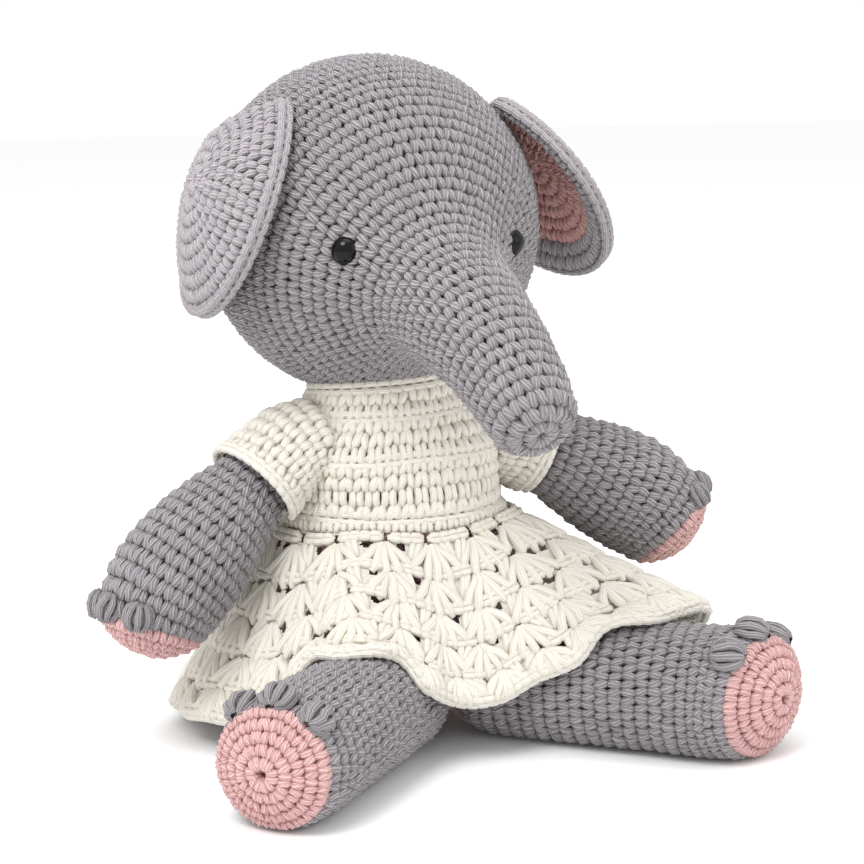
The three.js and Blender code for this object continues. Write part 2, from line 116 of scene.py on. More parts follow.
# ---------------------------------------------------------------- lines and surfaces
def smooth(points, steps=24):
    """A close-spaced curve through the points."""
    pts = [np.array(p, float) for p in points]
    pts = [2 * pts[0] - pts[1], *pts, 2 * pts[-1] - pts[-2]]
    out = []
    for a, b, c, d in zip(pts[:-3], pts[1:-2], pts[2:-1], pts[3:]):
        for t in np.linspace(0, 1, steps, endpoint=False):
            out.append(
                0.5 * (2 * b + (c - a) * t + (2 * a - 5 * b + 4 * c - d) * t**2 + (3 * b - a - 3 * c + d) * t**3)
            )
    out.append(pts[-2])
    return np.array(out)


def ease(pairs, at):
    """A smooth value through (place, value) pairs, read at the places asked."""
    xs, ys = np.array(pairs, float).T
    slopes = np.gradient(ys, xs)
    k = np.clip(np.searchsorted(xs, at) - 1, 0, len(xs) - 2)
    h = xs[k + 1] - xs[k]
    t = np.clip((at - xs[k]) / h, 0, 1)
    return (
        (2 * t**3 - 3 * t**2 + 1) * ys[k]
        + (t**3 - 2 * t**2 + t) * h * slopes[k]
        + (3 * t**2 - 2 * t**3) * ys[k + 1]
        + (t**3 - t**2) * h * slopes[k + 1]
    )


def unit(v):
    """Vectors made one long."""
    v = np.asarray(v, float)
    return v / np.maximum(np.linalg.norm(v, axis=-1, keepdims=True), 1e-9)


class Tube:
    """A round surface about a bending line, read by distance along its skin and angle around it."""

    def __init__(self, line, pairs, up, widen=(1.0, 1.0), warp=None):
        line = np.asarray(line, float)
        reach = np.concatenate([[0], np.cumsum(np.linalg.norm(np.diff(line, axis=0), axis=1))])
        along, radius = np.array(pairs, float).T
        centre = np.stack([np.interp(along, reach, line[:, i]) for i in range(3)], -1)
        first, last = unit(line[1] - line[0]), unit(line[-1] - line[-2])
        centre += np.minimum(along, 0)[:, None] * first + np.maximum(along - reach[-1], 0)[:, None] * last
        heading = unit(np.gradient(line, axis=0))
        tangent = unit(np.stack([np.interp(along, reach, heading[:, i]) for i in range(3)], -1))
        side = unit(np.cross(np.asarray(up, float), tangent))
        top = np.cross(tangent, side)
        self.skin = np.concatenate([[0], np.cumsum(np.hypot(np.diff(along), np.diff(radius)))])
        self.length = self.skin[-1]
        self.table = np.concatenate([centre, top * widen[0], side * widen[1], radius[:, None]], 1)
        self.warp = warp

    def radius(self, p):
        """Radius at a distance along the skin."""
        return np.interp(p, self.skin, self.table[:, 9])

    def point(self, p, angle):
        """Points on the surface."""
        row = np.stack([np.interp(p, self.skin, self.table[:, i]) for i in range(10)], -1)
        r = row[..., 9:10]
        flat = row[..., :3] + r * (np.cos(angle)[..., None] * row[..., 3:6] + np.sin(angle)[..., None] * row[..., 6:9])
        return self.warp(flat) if self.warp else flat

    def normal(self, p, angle):
        """Outward directions on the surface."""
        p = np.clip(p, 0.05, self.length - 0.05)
        step = 0.3
        along = self.point(p + step, angle) - self.point(p - step, angle)
        around = self.point(p, angle + 0.02) - self.point(p, angle - 0.02)
        return unit(np.cross(along, around))


def dome(radius, height, base):
    """(along, radius) pairs of a low dome, from its tip at base to its rim."""
    ball = (radius**2 + height**2) / (2 * height)
    half = math.asin(min(radius / ball, 1.0))
    return [(base + ball * (1 - math.cos(a)), ball * math.sin(a)) for a in np.linspace(0, half, 10)]


# ---------------------------------------------------------------- yarn
# one single crochet stitch, a V of two plump strands: (across in stitch widths, up in rows, lift in mm, plumpness)
V_STITCH = np.array([
    (-0.27, 1.12, -1.2, 0.70),
    (-0.32, 0.93, 0.40, 1.06),
    (-0.29, 0.62, 1.10, 1.27),
    (-0.18, 0.27, 0.80, 1.15),
    (0.00, -0.07, -0.9, 0.68),
    (0.18, 0.27, 0.80, 1.15),
    (0.29, 0.62, 1.10, 1.27),
    (0.32, 0.93, 0.40, 1.06),
    (0.27, 1.12, -1.2, 0.70),
])
BRAID_ACROSS = np.array([-0.75, -0.3, 0.25, 0.7])  # one strand of an edging stitch, in stitch widths
BRAID_PITCH = 4.2
FLATTENED = 0.85  # share of its radius at which a strand rests on the floor
STRAND_SIDES = 6


class Yarn:
    """Strands gathered for one object: lines of points with a radius at each."""

    def __init__(self):
        self.lines = []

    def add(self, points, radii):
        """One strand, pressed flat where it would sink into the floor."""
        points, radii = np.array(points, float), np.asarray(radii, float)
        points[:, 2] = np.maximum(points[:, 2], radii * FLATTENED)
        self.lines.append((points, radii))

    def rounds(self, tube, start, end, size, keep=None, low=0.0, fine=1.0):
        """Rounds of single crochet between two places on a tube."""
        count = max(int(round((end - start) / (size.row * fine))), 1)
        row = (end - start) / count
        for k in range(count):
            at = start + row * k
            n = max(int(round(2 * math.pi * float(tube.radius(at + row * 0.5)) / (size.pitch * fine))), 6)
            step = 2 * math.pi / n
            turn = (k % 2) * 0.5 * step + k * 0.07 * step
            middle = turn + step * (np.arange(n) + RNG.normal(0, 0.035, n))
            across, up, lift, plump = V_STITCH.T
            lean = 0.10 + RNG.normal(0, 0.03, n)[:, None]
            angle = middle[:, None] + step * (across[None] + lean * (up[None] - 0.5))
            p = at + row * (up[None] + RNG.normal(0, 0.03, n)[:, None])
            p = np.clip(p, 0.0, tube.length)
            base = tube.point(p, angle)
            out = tube.normal(p, angle)
            scale = min(row / size.row, 1.0)
            height = (lift[None] + RNG.normal(0, 0.09, n)[:, None]) * scale - low
            points = base + out * height[..., None]
            thin = 1 + 1.6 / max(float(tube.radius(at + row * 0.5)), 8.0)
            radii = size.yarn * thin * (0.5 + 0.5 * fine) * plump[None] * (1 + RNG.normal(0, 0.04, n)[:, None])
            for i in range(n):
                if keep is None or keep(points[i, 4]):
                    self.add(points[i], radii[i])

    def edging(self, tube, at, size, keep=None, wide=1.4, round_by=1.0):
        """A braid of small V stitches around a tube."""
        n = int(2 * math.pi * float(tube.radius(at)) * round_by / BRAID_PITCH)
        for i in range(n):
            for hand in (-1, 1):
                a = (i + BRAID_ACROSS) * 2 * math.pi / n
                p = np.clip(at + hand * wide * np.array([0.1, 0.8, 0.8, 0.1]), 0, tube.length)
                points = tube.point(p, a) + tube.normal(p, a) * np.array([0.5, 1.2, 1.1, 0.4])[:, None]
                if keep is None or keep(points[1]):
                    self.add(points, size.dress_yarn * np.array([0.75, 1.05, 1.05, 0.75]))

    def make(self, name, material):
        """The strands as one mesh object, with the ply attribute the yarn material reads."""
        curve = bpy.data.curves.new(name, "CURVE")
        curve.dimensions = "3D"
        curve.bevel_mode = "ROUND"
        curve.bevel_depth = MM
        curve.bevel_resolution = (STRAND_SIDES - 4) // 2
        curve.resolution_u = 1
        for points, radii in self.lines:
            spline = curve.splines.new("POLY")
            spline.points.add(len(points) - 1)
            spline.points.foreach_set("co", np.c_[points * MM, np.ones(len(points))].ravel())
            spline.points.foreach_set("radius", radii)
        holder = bpy.data.objects.new(name + "_curve", curve)
        bpy.context.scene.collection.objects.link(holder)
        depsgraph = bpy.context.evaluated_depsgraph_get()
        mesh = bpy.data.meshes.new_from_object(holder.evaluated_get(depsgraph))
        bpy.data.objects.remove(holder)
        bpy.data.curves.remove(curve)
        mesh.name = name
        around = 2 * math.pi * np.arange(STRAND_SIDES) / STRAND_SIDES
        ply = []
        for points, _ in self.lines:
            run = np.concatenate([[0], np.cumsum(np.linalg.norm(np.diff(points, axis=0), axis=1))])
            ring = np.empty((len(points), STRAND_SIDES, 3))
            ring[..., 0] = np.cos(around)
            ring[..., 1] = np.sin(around)
            ring[..., 2] = run[:, None] + RNG.uniform(0, 40)  # each strand starts its twist anywhere
            ply.append(ring.reshape(-1, 3))
        ply = np.concatenate(ply)
        if len(ply) != len(mesh.vertices):
            raise RuntimeError(f"{name}: {len(mesh.vertices)} vertices, expected {len(ply)}")
        mesh.attributes.new("ply", "FLOAT_VECTOR", "POINT").data.foreach_set("vector", ply.ravel())
        mesh.shade_smooth()
        mesh.materials.clear()
        mesh.materials.append(material)
        return link(name, mesh)


def link(name, mesh):
    """A new object at the origin."""
    obj = bpy.data.objects.new(name, mesh)
    bpy.context.scene.collection.objects.link(obj)
    return obj


def grid(place, across, along, keep=None):
    """A grid mesh laid on a surface: place(u, v) takes 0..1 around and 0..1 along."""
    bm = bmesh.new()
    bmesh.ops.create_grid(bm, x_segments=across, y_segments=along, size=0.5)
    flat = np.array([v.co for v in bm.verts]) + 0.5
    moved = place(flat[:, 0], flat[:, 1])
    moved[:, 2] = np.maximum(moved[:, 2], CLOTH_OFF_FLOOR)
    for vert, co in zip(bm.verts, moved * MM):
        vert.co = co
    if keep is not None:
        gone = [f for f in bm.faces if not keep(np.mean([flat[v.index] for v in f.verts], axis=0))]
        bmesh.ops.delete(bm, geom=gone, context="FACES")
    bmesh.ops.remove_doubles(bm, verts=bm.verts, dist=SEAM_GAP * MM)
    bmesh.ops.recalc_face_normals(bm, faces=bm.faces)
    return bm


def cloth(name, parts, material):
    """One backing mesh from several grids."""
    mesh = bpy.data.meshes.new(name)
    whole = bmesh.new()
    for bm in parts:
        bm.to_mesh(mesh)
        whole.from_mesh(mesh)
        bm.free()
    whole.to_mesh(mesh)
    whole.free()
    mesh.shade_smooth()
    mesh.materials.clear()
    mesh.materials.append(material)
    return link(name, mesh)


def backing(tube, start, end, depth, across=48, step=3.0):
    """The backing cloth under the stitches of a tube."""
    along = max(int((end - start) / step), 3)

    def place(u, v):
        p = start + (end - start) * v
        angle = 2 * math.pi * u
        return tube.point(p, angle) - depth * tube.normal(p, angle)

    return grid(place, across, along)


# ---------------------------------------------------------------- materials
def node(tree, kind, inputs=None, **settings):
    """Adds a shader node, with its settings and input values or links."""
    made = tree.nodes.new(kind)
    for key, value in settings.items():
        setattr(made, key, value)
    for key, value in (inputs or {}).items():
        if isinstance(value, bpy.types.NodeSocket):
            tree.links.new(value, made.inputs[key])
        else:
            made.inputs[key].default_value = value
    return made


def started(name):
    """A material with only its Principled shader and output."""
    material = bpy.data.materials.new(name)
    material.use_nodes = True
    tree = material.node_tree
    tree.nodes.clear()
    shader = node(tree, "ShaderNodeBsdfPrincipled")
    node(tree, "ShaderNodeOutputMaterial", {"Surface": shader.outputs[0]})
    return material, tree, shader


def shade(rgb, k):
    """A colour made darker or lighter."""
    return (*[min(c * k, 1.0) for c in rgb], 1.0)


def speckle(tree, spot, size, detail):
    """Noise on the object's own coordinates, with features of a size in mm."""
    settings = {"Vector": spot.outputs["Object"], "Scale": 1.0 / (size * MM), "Detail": detail}
    return node(tree, "ShaderNodeTexNoise", settings)


# Spun yarn of wool or cotton, twisted from plies and crocheted.  It gives the eye matt thread with fine grooves that
# wind along each strand and are darkened in the colour as painted shade, paler tufts of fibre on the plies, and
# painted shade down in the holes between stitches, where an occlusion mask darkens the colour.
PLIES = 9.0  # grooves around a strand, which stands for two threads of about four plies lying together
PLY_TWIST = 24.0  # one turn of the plies, drawn longer than the real one because the strands are plumped
PLY_SWAY = 1.613  # the plies waver over about one strand's radius
FIBRE_TUFT = 0.3846  # single fibres of 0.02 mm are too fine to show, so they are drawn as tufts
PLY_DEPTH = 0.7
HOLE_REACH = 2.8  # how far the shade of a hole reaches


def yarn_material(name, rgb, deep, contrast=0.55, relief=1.0):
    """Plied yarn: rgb on the plies, darker by contrast between them as painted shade, and deep as painted shade down
    in the holes.
    """
    material, tree, shader = started(name)
    ply = node(tree, "ShaderNodeAttribute", attribute_name="ply")
    part = node(tree, "ShaderNodeSeparateXYZ", {0: ply.outputs["Vector"]})
    angle = node(tree, "ShaderNodeMath", {0: part.outputs[1], 1: part.outputs[0]}, operation="ARCTAN2")
    turned = node(tree, "ShaderNodeMath", {0: angle.outputs[0], 1: PLIES}, operation="MULTIPLY")
    run = node(tree, "ShaderNodeMath", {0: part.outputs[2], 1: 2 * math.pi / PLY_TWIST}, operation="MULTIPLY")
    spot = node(tree, "ShaderNodeTexCoord")
    soft = speckle(tree, spot, PLY_SWAY, 3.0)
    sway = node(tree, "ShaderNodeMath", {0: soft.outputs[0], 1: 2.6}, operation="MULTIPLY")
    mixed = node(tree, "ShaderNodeMath", {0: turned.outputs[0], 1: run.outputs[0]}, operation="ADD")
    phase = node(tree, "ShaderNodeMath", {0: mixed.outputs[0], 1: sway.outputs[0]}, operation="ADD")
    wave = node(tree, "ShaderNodeMath", {0: phase.outputs[0]}, operation="SINE")
    level = node(tree, "ShaderNodeMapRange", {0: wave.outputs[0], 1: -1.0, 2: 1.0, 3: 0.0, 4: 1.0})
    fibre = speckle(tree, spot, FIBRE_TUFT, 2.0)
    blend = node(tree, "ShaderNodeMath", {0: fibre.outputs[0], 1: 0.55}, operation="MULTIPLY")
    both = node(tree, "ShaderNodeMath", {0: level.outputs[0], 1: blend.outputs[0]}, operation="ADD")
    ramp = node(tree, "ShaderNodeMapRange", {0: both.outputs[0], 1: 0.1, 2: 1.3, 3: 0.0, 4: 1.0})
    # painted shade and light along the plies: grooves darkened by contrast, ply crowns painted lighter, mixed with
    # random paler fibre tufts
    tint = node(tree, "ShaderNodeMix", data_type="RGBA")
    tree.links.new(ramp.outputs[0], tint.inputs["Factor"])
    tint.inputs["A"].default_value = shade(rgb, contrast)
    tint.inputs["B"].default_value = shade(rgb, 1.12)
    # painted shade: an occlusion mask fades the colour to deep in the holes between strands
    painted_hole_shade = node(tree, "ShaderNodeAmbientOcclusion", {"Distance": HOLE_REACH * MM}, samples=6, only_local=True)
    hollow = node(tree, "ShaderNodeMapRange", {0: painted_hole_shade.outputs["AO"], 1: 0.25, 2: 0.9, 3: 0.0, 4: 1.0})
    final = node(tree, "ShaderNodeMix", data_type="RGBA")
    tree.links.new(hollow.outputs[0], final.inputs["Factor"])
    final.inputs["A"].default_value = (*deep, 1.0)
    tree.links.new(tint.outputs["Result"], final.inputs["B"])
    bump = node(tree, "ShaderNodeBump", {"Height": both.outputs[0], "Strength": relief, "Distance": PLY_DEPTH * MM})
    tree.links.new(final.outputs["Result"], shader.inputs["Base Color"])
    tree.links.new(bump.outputs[0], shader.inputs["Normal"])
    shader.inputs["Roughness"].default_value = 0.92
    shader.inputs["Sheen Weight"].default_value = 0.25
    shader.inputs["Sheen Roughness"].default_value = 0.5
    shader.inputs["Specular IOR Level"].default_value = 0.15
    return material


# The inner loops of the crocheted cloth, seen only between the stitches: matt, mottled and coloured darker than the
# yarn as painted shade, so that a gap reads as more yarn behind and never as a hard shell.
LOOP_MOTTLE = 1.111  # about one thread's thickness


def backing_material(name, rgb):
    """The inside of the stitches, in a colour given darker as painted shade."""
    material, tree, shader = started(name)
    spot = node(tree, "ShaderNodeTexCoord")
    noise = speckle(tree, spot, LOOP_MOTTLE, 3.0)
    tint = node(tree, "ShaderNodeMix", data_type="RGBA")
    tree.links.new(noise.outputs[0], tint.inputs["Factor"])
    tint.inputs["A"].default_value = shade(rgb, 0.8)
    tint.inputs["B"].default_value = shade(rgb, 1.2)
    bump = node(tree, "ShaderNodeBump", {"Height": noise.outputs[0], "Strength": 0.6, "Distance": 0.0005})
    tree.links.new(tint.outputs["Result"], shader.inputs["Base Color"])
    tree.links.new(bump.outputs[0], shader.inputs["Normal"])
    shader.inputs["Roughness"].default_value = 0.95
    return material


# Moulded black plastic, polished in the mould: a clear small highlight on near black, and a shine that wavers very
# slightly with handling.
HANDLING_MARK = 3.333


def plastic_material(name, rgb):
    """Glossy black safety-eye plastic."""
    material, tree, shader = started(name)
    spot = node(tree, "ShaderNodeTexCoord")
    noise = speckle(tree, spot, HANDLING_MARK, 2.0)
    rough = node(tree, "ShaderNodeMapRange", {0: noise.outputs[0], 1: 0.3, 2: 0.7, 3: 0.03, 4: 0.09})
    tree.links.new(rough.outputs[0], shader.inputs["Roughness"])
    shader.inputs["Specular IOR Level"].default_value = 0.22
    shader.inputs["Base Color"].default_value = (*rgb, 1.0)
    return material


# A matt painted studio sweep: pale and all but even, with the faintest mottling.
SWEEP_MOTTLE = 333.3


def floor_material(name, rgb):
    """Pale studio sweep."""
    material, tree, shader = started(name)
    spot = node(tree, "ShaderNodeTexCoord")
    noise = speckle(tree, spot, SWEEP_MOTTLE, 2.0)
    tint = node(tree, "ShaderNodeMix", data_type="RGBA")
    tree.links.new(noise.outputs[0], tint.inputs["Factor"])
    tint.inputs["A"].default_value = shade(rgb, 0.985)
    tint.inputs["B"].default_value = shade(rgb, 1.0)
    tree.links.new(tint.outputs["Result"], shader.inputs["Base Color"])
    shader.inputs["Roughness"].default_value = 0.9
    return material


def materials():
    """Every material, made once."""
    tones = bpy.context.scene.elephant_colours
    grey, pink, lining, white = (tuple(c) for c in (tones.grey, tones.pink, tones.lining, tones.white))
    # painted light: the ears' grey is 1.1 times lighter than the head's, with lighter painted shade in its holes and
    # backing, for the light the ears catch
    lit = tuple(c * 1.1 for c in grey)

    def toned(rgb, red, green, blue):
        """A colour with each part scaled: the warmer painted shade of light wool in its holes."""
        return (rgb[0] * red, rgb[1] * green, rgb[2] * blue)

    def even(rgb, k):
        """A colour darkened evenly."""
        return toned(rgb, k, k, k)

    # each yarn: its colour, the painted shade colour deep in its holes, the groove contrast painted as shade, and its
    # bump strength
    yarns = {
        "grey wool yarn": (grey, even(grey, 0.36), 0.55, 1.0),
        "brushed grey wool yarn": (lit, even(grey, 0.62), 0.72, 0.8),
        "pink wool yarn": (pink, toned(pink, 0.5, 0.28, 0.25), 0.76, 1.0),
        "dusty pink wool yarn": (lining, toned(lining, 0.7, 0.44, 0.42), 0.76, 1.0),
        "white cotton yarn": (white, toned(white, 0.90, 0.86, 0.80), 0.93, 0.3),
    }
    # the backings: the yarn colours darkened as painted shade for the gaps between stitches, warmer for the pink
    backings = {
        "grey wool backing": even(grey, 0.36),
        "brushed grey wool backing": even(grey, 0.62),
        "pink wool backing": toned(pink, 0.6, 0.36, 0.32),
        "white cotton backing": even(white, 0.92),
    }
    if "studio floor" not in bpy.data.materials:
        for name, (rgb, deep, contrast, relief) in yarns.items():
            yarn_material(name, rgb, deep, contrast, relief)
        for name, rgb in backings.items():
            backing_material(name, rgb)
        plastic_material("black eye plastic", tuple(tones.black))
        floor_material("studio floor", tuple(tones.floor))
    return bpy.data.materials


def ready():
    """Settings and materials for an operator."""
    return bpy.context.scene.elephant_sizes, materials()


# ---------------------------------------------------------------- places, mm, in the frame's coordinates
def middle(name):
    """Centre of a CAD node's box, mm."""
    low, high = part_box(name)
    return (np.array(low) + np.array(high)) / 2 / MM


HEAD_RADIUS = 58.5
FACE = unit(np.array([0, -0.959, -0.282]))  # the way the trunk leaves the head
HEAD = np.array([-3.5, 8.0, 178.0])
TRUNK_START = 68.0  # from the middle of the head
TRUNK_ROOT = HEAD + FACE * TRUNK_START
TRUNK_LINE = [(-2, -122, 124), (-2, -108, 134.5), (-2.6, -93, 144), (-3.2, -76, 152.2), tuple(TRUNK_ROOT)]
# (height, radius) of the body
TORSO = [(0, 22), (4, 26), (10, 28.3), (18, 30), (26, 32.6), (34, 35.6), (44, 38.8), (56, 40.6), (68, 40),
         (80, 37.4), (90, 33.6), (100, 29), (108, 25), (114, 22), (119, 20)]
TORSO_DEPTH = 0.9  # front to back, as a share of its width
# the middle lines of the limbs, from sole or palm to the sewn end
LEGS = {
    "right": [(-90, -106.5, 19.8), (-66, -85.5, 19.8), (-42, -64.5, 19.4), (-18, -43, 18.6)],
    "left": [(98.5, -111, 21), (75, -88, 20.6), (51, -65, 19.8), (27, -43, 18.6)],
}
ARMS = {
    "right": [(-98.5, -13.5, 37), (-91, -11.5, 53.5), (-76, -9, 70.5), (-57, -5.5, 87.5), (-40.5, -3, 99.5)],
    "left": [(110, -26, 58), (95, -19, 73.5), (76, -13.5, 84.5), (57, -8.5, 94), (40.5, -5, 101)],
}
# (share of the way from the sole or palm to the sewn end, radius)
LEG_RADII = [(0, 18.4), (0.12, 19.8), (0.4, 19.6), (0.75, 19), (1, 18.4)]
ARM_RADII = [(0, 16.2), (0.15, 19), (0.4, 18.8), (0.58, 16), (0.78, 11.6), (1, 10)]
SOLE_DOME = 7.0
# the left sole faces the front: how far it shears, as a share of the way across it, and how much wider it is
SOLE_TURN = -0.42
SOLE_WIDER = 1.1


def head_tube():
    """Trunk tip, trunk, face and back of the head: one long piece worked in rounds."""
    trunk = smooth(TRUNK_LINE)
    reach = float(np.linalg.norm(np.diff(trunk, axis=0), axis=1).sum())
    back = HEAD - FACE * HEAD_RADIUS
    line = np.concatenate([trunk, np.linspace(TRUNK_ROOT, back, 60)[1:]])
    tip = [(0, 0.0), (0.15, 3.5), (0.6, 7.0), (1.5, 9.6), (3.2, 11.4), (6.0, 12.1)]
    body = [(6.0, 12.1), (reach - 58, 13.4), (reach - 38, 15.6), (reach - 18, 18.2), (reach - 7, 19.6), (reach, 21.0),
            (reach + 6, 23.4), (reach + 12, 27.4), (reach + 18, 32.6), (reach + 24, 38.6), (reach + 30, 44.4)]
    body = [pair for i, pair in enumerate(body) if i == 0 or pair[0] > body[i - 1][0] + 0.5]
    steps = np.arange(6.5, reach + 30, 1.0)
    pairs = tip + list(zip(steps, ease(body, steps)))
    turn = np.linspace(math.asin(38 / HEAD_RADIUS), -math.pi / 2, 70)
    pairs += [(reach + TRUNK_START - HEAD_RADIUS * math.sin(a), HEAD_RADIUS * math.cos(a)) for a in turn]
    return Tube(line, pairs, (0, 0, 1))


def limb_tube(points, radii, extra, up, turn):
    """An arm or leg from the middle of its sole or palm to its sewn end."""
    line = smooth(points)
    reach = float(np.linalg.norm(np.diff(line, axis=0), axis=1).sum())
    tube_length = reach - SOLE_DOME
    pairs = dome(radii[0][1] + extra, SOLE_DOME, 0.0)
    rim = float(np.hypot(*np.diff(np.array(pairs), axis=0).T).sum())
    steps = np.arange(1.0, tube_length, 1.5)
    profile = [(at * tube_length, r + extra * (1 - at)) for at, r in radii]
    pairs += list(zip(SOLE_DOME + steps, ease(profile, steps)))
    root = radii[-1][1]
    pairs += [(reach + root * math.sin(a), root * math.cos(a)) for a in np.linspace(0, math.pi / 2, 12)]
    foot, heading = line[0], unit(line[0] - line[6])
    side = unit(np.cross(heading, (0, 0, 1.0)))

    def swing(p):
        """Turns the sole towards the front, fading out along the leg."""
        v = p - foot
        fade = step_up(v @ heading, -34.0, -4.0)
        return p + heading * (fade * (v @ side) * turn)[..., None]

    return Tube(line, pairs, up, warp=swing if turn else None), rim


def finish_piece(obj, body, nodes=()):
    """Ties a piece to its body and lets it stand for its CAD nodes."""
    if nodes:
        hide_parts(*nodes)
    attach(obj, body)


# ---------------------------------------------------------------- pieces
EYE_RADIUS = 5.0
EYE_PROUD = 2.0
EYE_FLATNESS = 0.84
BOBBLE_STRANDS = 8
BOBBLE_YARN = 1.42 / 5  # radius of its strands, as a share of the bobble's half width
DIGIT_SPREAD = 38.0  # degrees round the limb between fingers or toes


def bobble(yarn, centre, axis, out, size):
    """A popcorn bobble: strands drawn from one point over a ball to the other side."""
    axis, out = unit(axis), unit(out)
    side = np.cross(axis, out)
    wide, thick, long = size
    lean = RNG.normal(0, 0.25)
    for i in range(BOBBLE_STRANDS):
        turn = 2 * math.pi * (i + 0.3 + RNG.normal(0, 0.12)) / BOBBLE_STRANDS
        steps = np.linspace(0.14, math.pi - 0.14, 7)
        bow = np.stack([-np.cos(steps), np.sin(steps) ** 0.8], -1)
        turns = turn + lean * bow[:, :1]
        rim = out * np.cos(turns) * thick + side * np.sin(turns) * wide
        grown = RNG.uniform(0.9, 1.12)
        points = centre + bow[:, :1] * axis * long + bow[:, 1:] * rim * grown + RNG.normal(0, 0.18, (7, 3))
        radii = BOBBLE_YARN * np.array([0.7, 1.0, 1.15, 1.2, 1.15, 1.0, 0.7]) * max(wide, thick)
        yarn.add(points, radii * RNG.uniform(0.88, 1.1))


def ball_mesh(centre, axis, out, size):
    """The filling ball inside a bobble."""
    axis, out = unit(axis), unit(out)
    side = np.cross(axis, out)
    wide, thick, long = size
    bm = bmesh.new()
    bmesh.ops.create_uvsphere(bm, u_segments=10, v_segments=7, radius=1.0)
    for vert in bm.verts:
        x, y, z = vert.co
        vert.co = (centre + out * x * thick + side * y * wide + axis * z * long) * MM
    return bm


def make_limb(side, part, sole, digit, digit_size):
    """One arm or leg with its sole or palm and its three bobbles."""
    size, mats = ready()
    turned = (part, side) == ("leg", "left")
    extra, turn = (SOLE_WIDER, SOLE_TURN) if turned else (0.0, 0.0)
    if part == "leg":
        tube, rim = limb_tube(LEGS[side], LEG_RADII, extra, (0, 0, 1), turn)
    else:
        tube, rim = limb_tube(ARMS[side], ARM_RADII, extra, (SIGN[side], -0.3, 0.6), turn)
    body = f"{part}_{side}"
    pads, grey = Yarn(), Yarn()
    edge = rim + 1.0
    pads.rounds(tube, 1.6, edge, size, fine=0.8)
    grey.rounds(tube, edge, tube.length - 5, size)
    parts = [backing(tube, edge - 1, tube.length, size.sink)]
    for i in range(3):
        centre = middle(f"{digit}_{side}_{i + 1}")
        centre = tube.warp(centre) if tube.warp else centre
        angle = math.radians((i - 1) * DIGIT_SPREAD)
        place = np.array([edge - 0.5])
        out = tube.normal(place + 4, np.array([angle]))[0]
        axis = unit(tube.point(place + 6, np.array([angle]))[0] - tube.point(place + 1, np.array([angle]))[0])
        grown = [s - 0.6 for s in digit_size]
        bobble(grey, centre - out * 0.8, axis, out, grown)
        parts.append(ball_mesh(centre - out * 0.8, axis, out, [s * 0.8 for s in digit_size]))
    skin = cloth(f"{part}_{side}_cloth", parts, mats["grey wool backing"])
    finish_piece(skin, body, [f"{part}_{side}_cover", f"{part}_{side}_stuffing"])
    yarn = grey.make(f"{part}_{side}_yarn", mats["grey wool yarn"])
    finish_piece(yarn, body, [f"{digit}_{side}_{i}" for i in (1, 2, 3)])
    under = cloth(f"{sole}_{side}_cloth", [backing(tube, 0.02, edge, size.sink)], mats["pink wool backing"])
    finish_piece(under, body, [])
    pad = pads.make(f"{sole}_{side}_yarn", mats["pink wool yarn"])
    finish_piece(pad, body, [f"{sole}_{side}"])


class ELEPHANT_OT_head(bpy.types.Operator):
    """Crochet the head and trunk"""

    bl_idname = "elephant.head"
    bl_label = "Head and trunk"

    def execute(self, context):
        size, mats = ready()
        tube = head_tube()
        yarn = Yarn()
        yarn.rounds(tube, 1.2, tube.length - 1.5, size)
        skin = cloth("head_cloth", [backing(tube, 0.02, tube.length - 0.02, size.sink, 72)], mats["grey wool backing"])
        made = yarn.make("head_yarn", mats["grey wool yarn"])
        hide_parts("head_cover", "head_stuffing", "trunk_cover", "trunk_stuffing")
        for obj in (skin, made):
            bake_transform(obj)
        return {"FINISHED"}


class ELEPHANT_OT_eyes(bpy.types.Operator):
    """Set the two domed eyes"""

    bl_idname = "elephant.eyes"
    bl_label = "Eyes"

    def execute(self, context):
        _, mats = ready()
        for side in SIDES:
            out = unit(np.array([SIGN[side] * 30, -50, -3]))
            seat = HEAD + out * (HEAD_RADIUS + EYE_PROUD)
            bm = bmesh.new()
            bmesh.ops.create_uvsphere(bm, u_segments=40, v_segments=24, radius=EYE_RADIUS * MM)
            bmesh.ops.scale(bm, vec=(1, 1, EYE_FLATNESS), verts=bm.verts)
            turn = Vector((0, 0, 1)).rotation_difference(Vector(out)).to_matrix()
            bmesh.ops.rotate(bm, cent=(0, 0, 0), matrix=turn, verts=bm.verts)
            bmesh.ops.translate(bm, vec=Vector(seat * MM), verts=bm.verts)
            mesh = bpy.data.meshes.new(f"eye_{side}_dome")
            bm.to_mesh(mesh)
            bm.free()
            mesh.shade_smooth()
            mesh.materials.append(mats["black eye plastic"])
            finish_piece(link(mesh.name, mesh), "head", [f"eye_{side}", f"eye_washer_{side}"])
        return {"FINISHED"}


class ELEPHANT_OT_limbs(bpy.types.Operator):
    """Crochet the arms and legs with their palms, soles, fingers and toes"""

    bl_idname = "elephant.limbs"
    bl_label = "Arms and legs"

    def execute(self, context):
        for side in SIDES:
            make_limb(side, "leg", "foot_sole", "toe", (5.6, 4.6, 6.0))
            make_limb(side, "arm", "palm", "finger", (4.8, 4.2, 5.2))
        return {"FINISHED"}


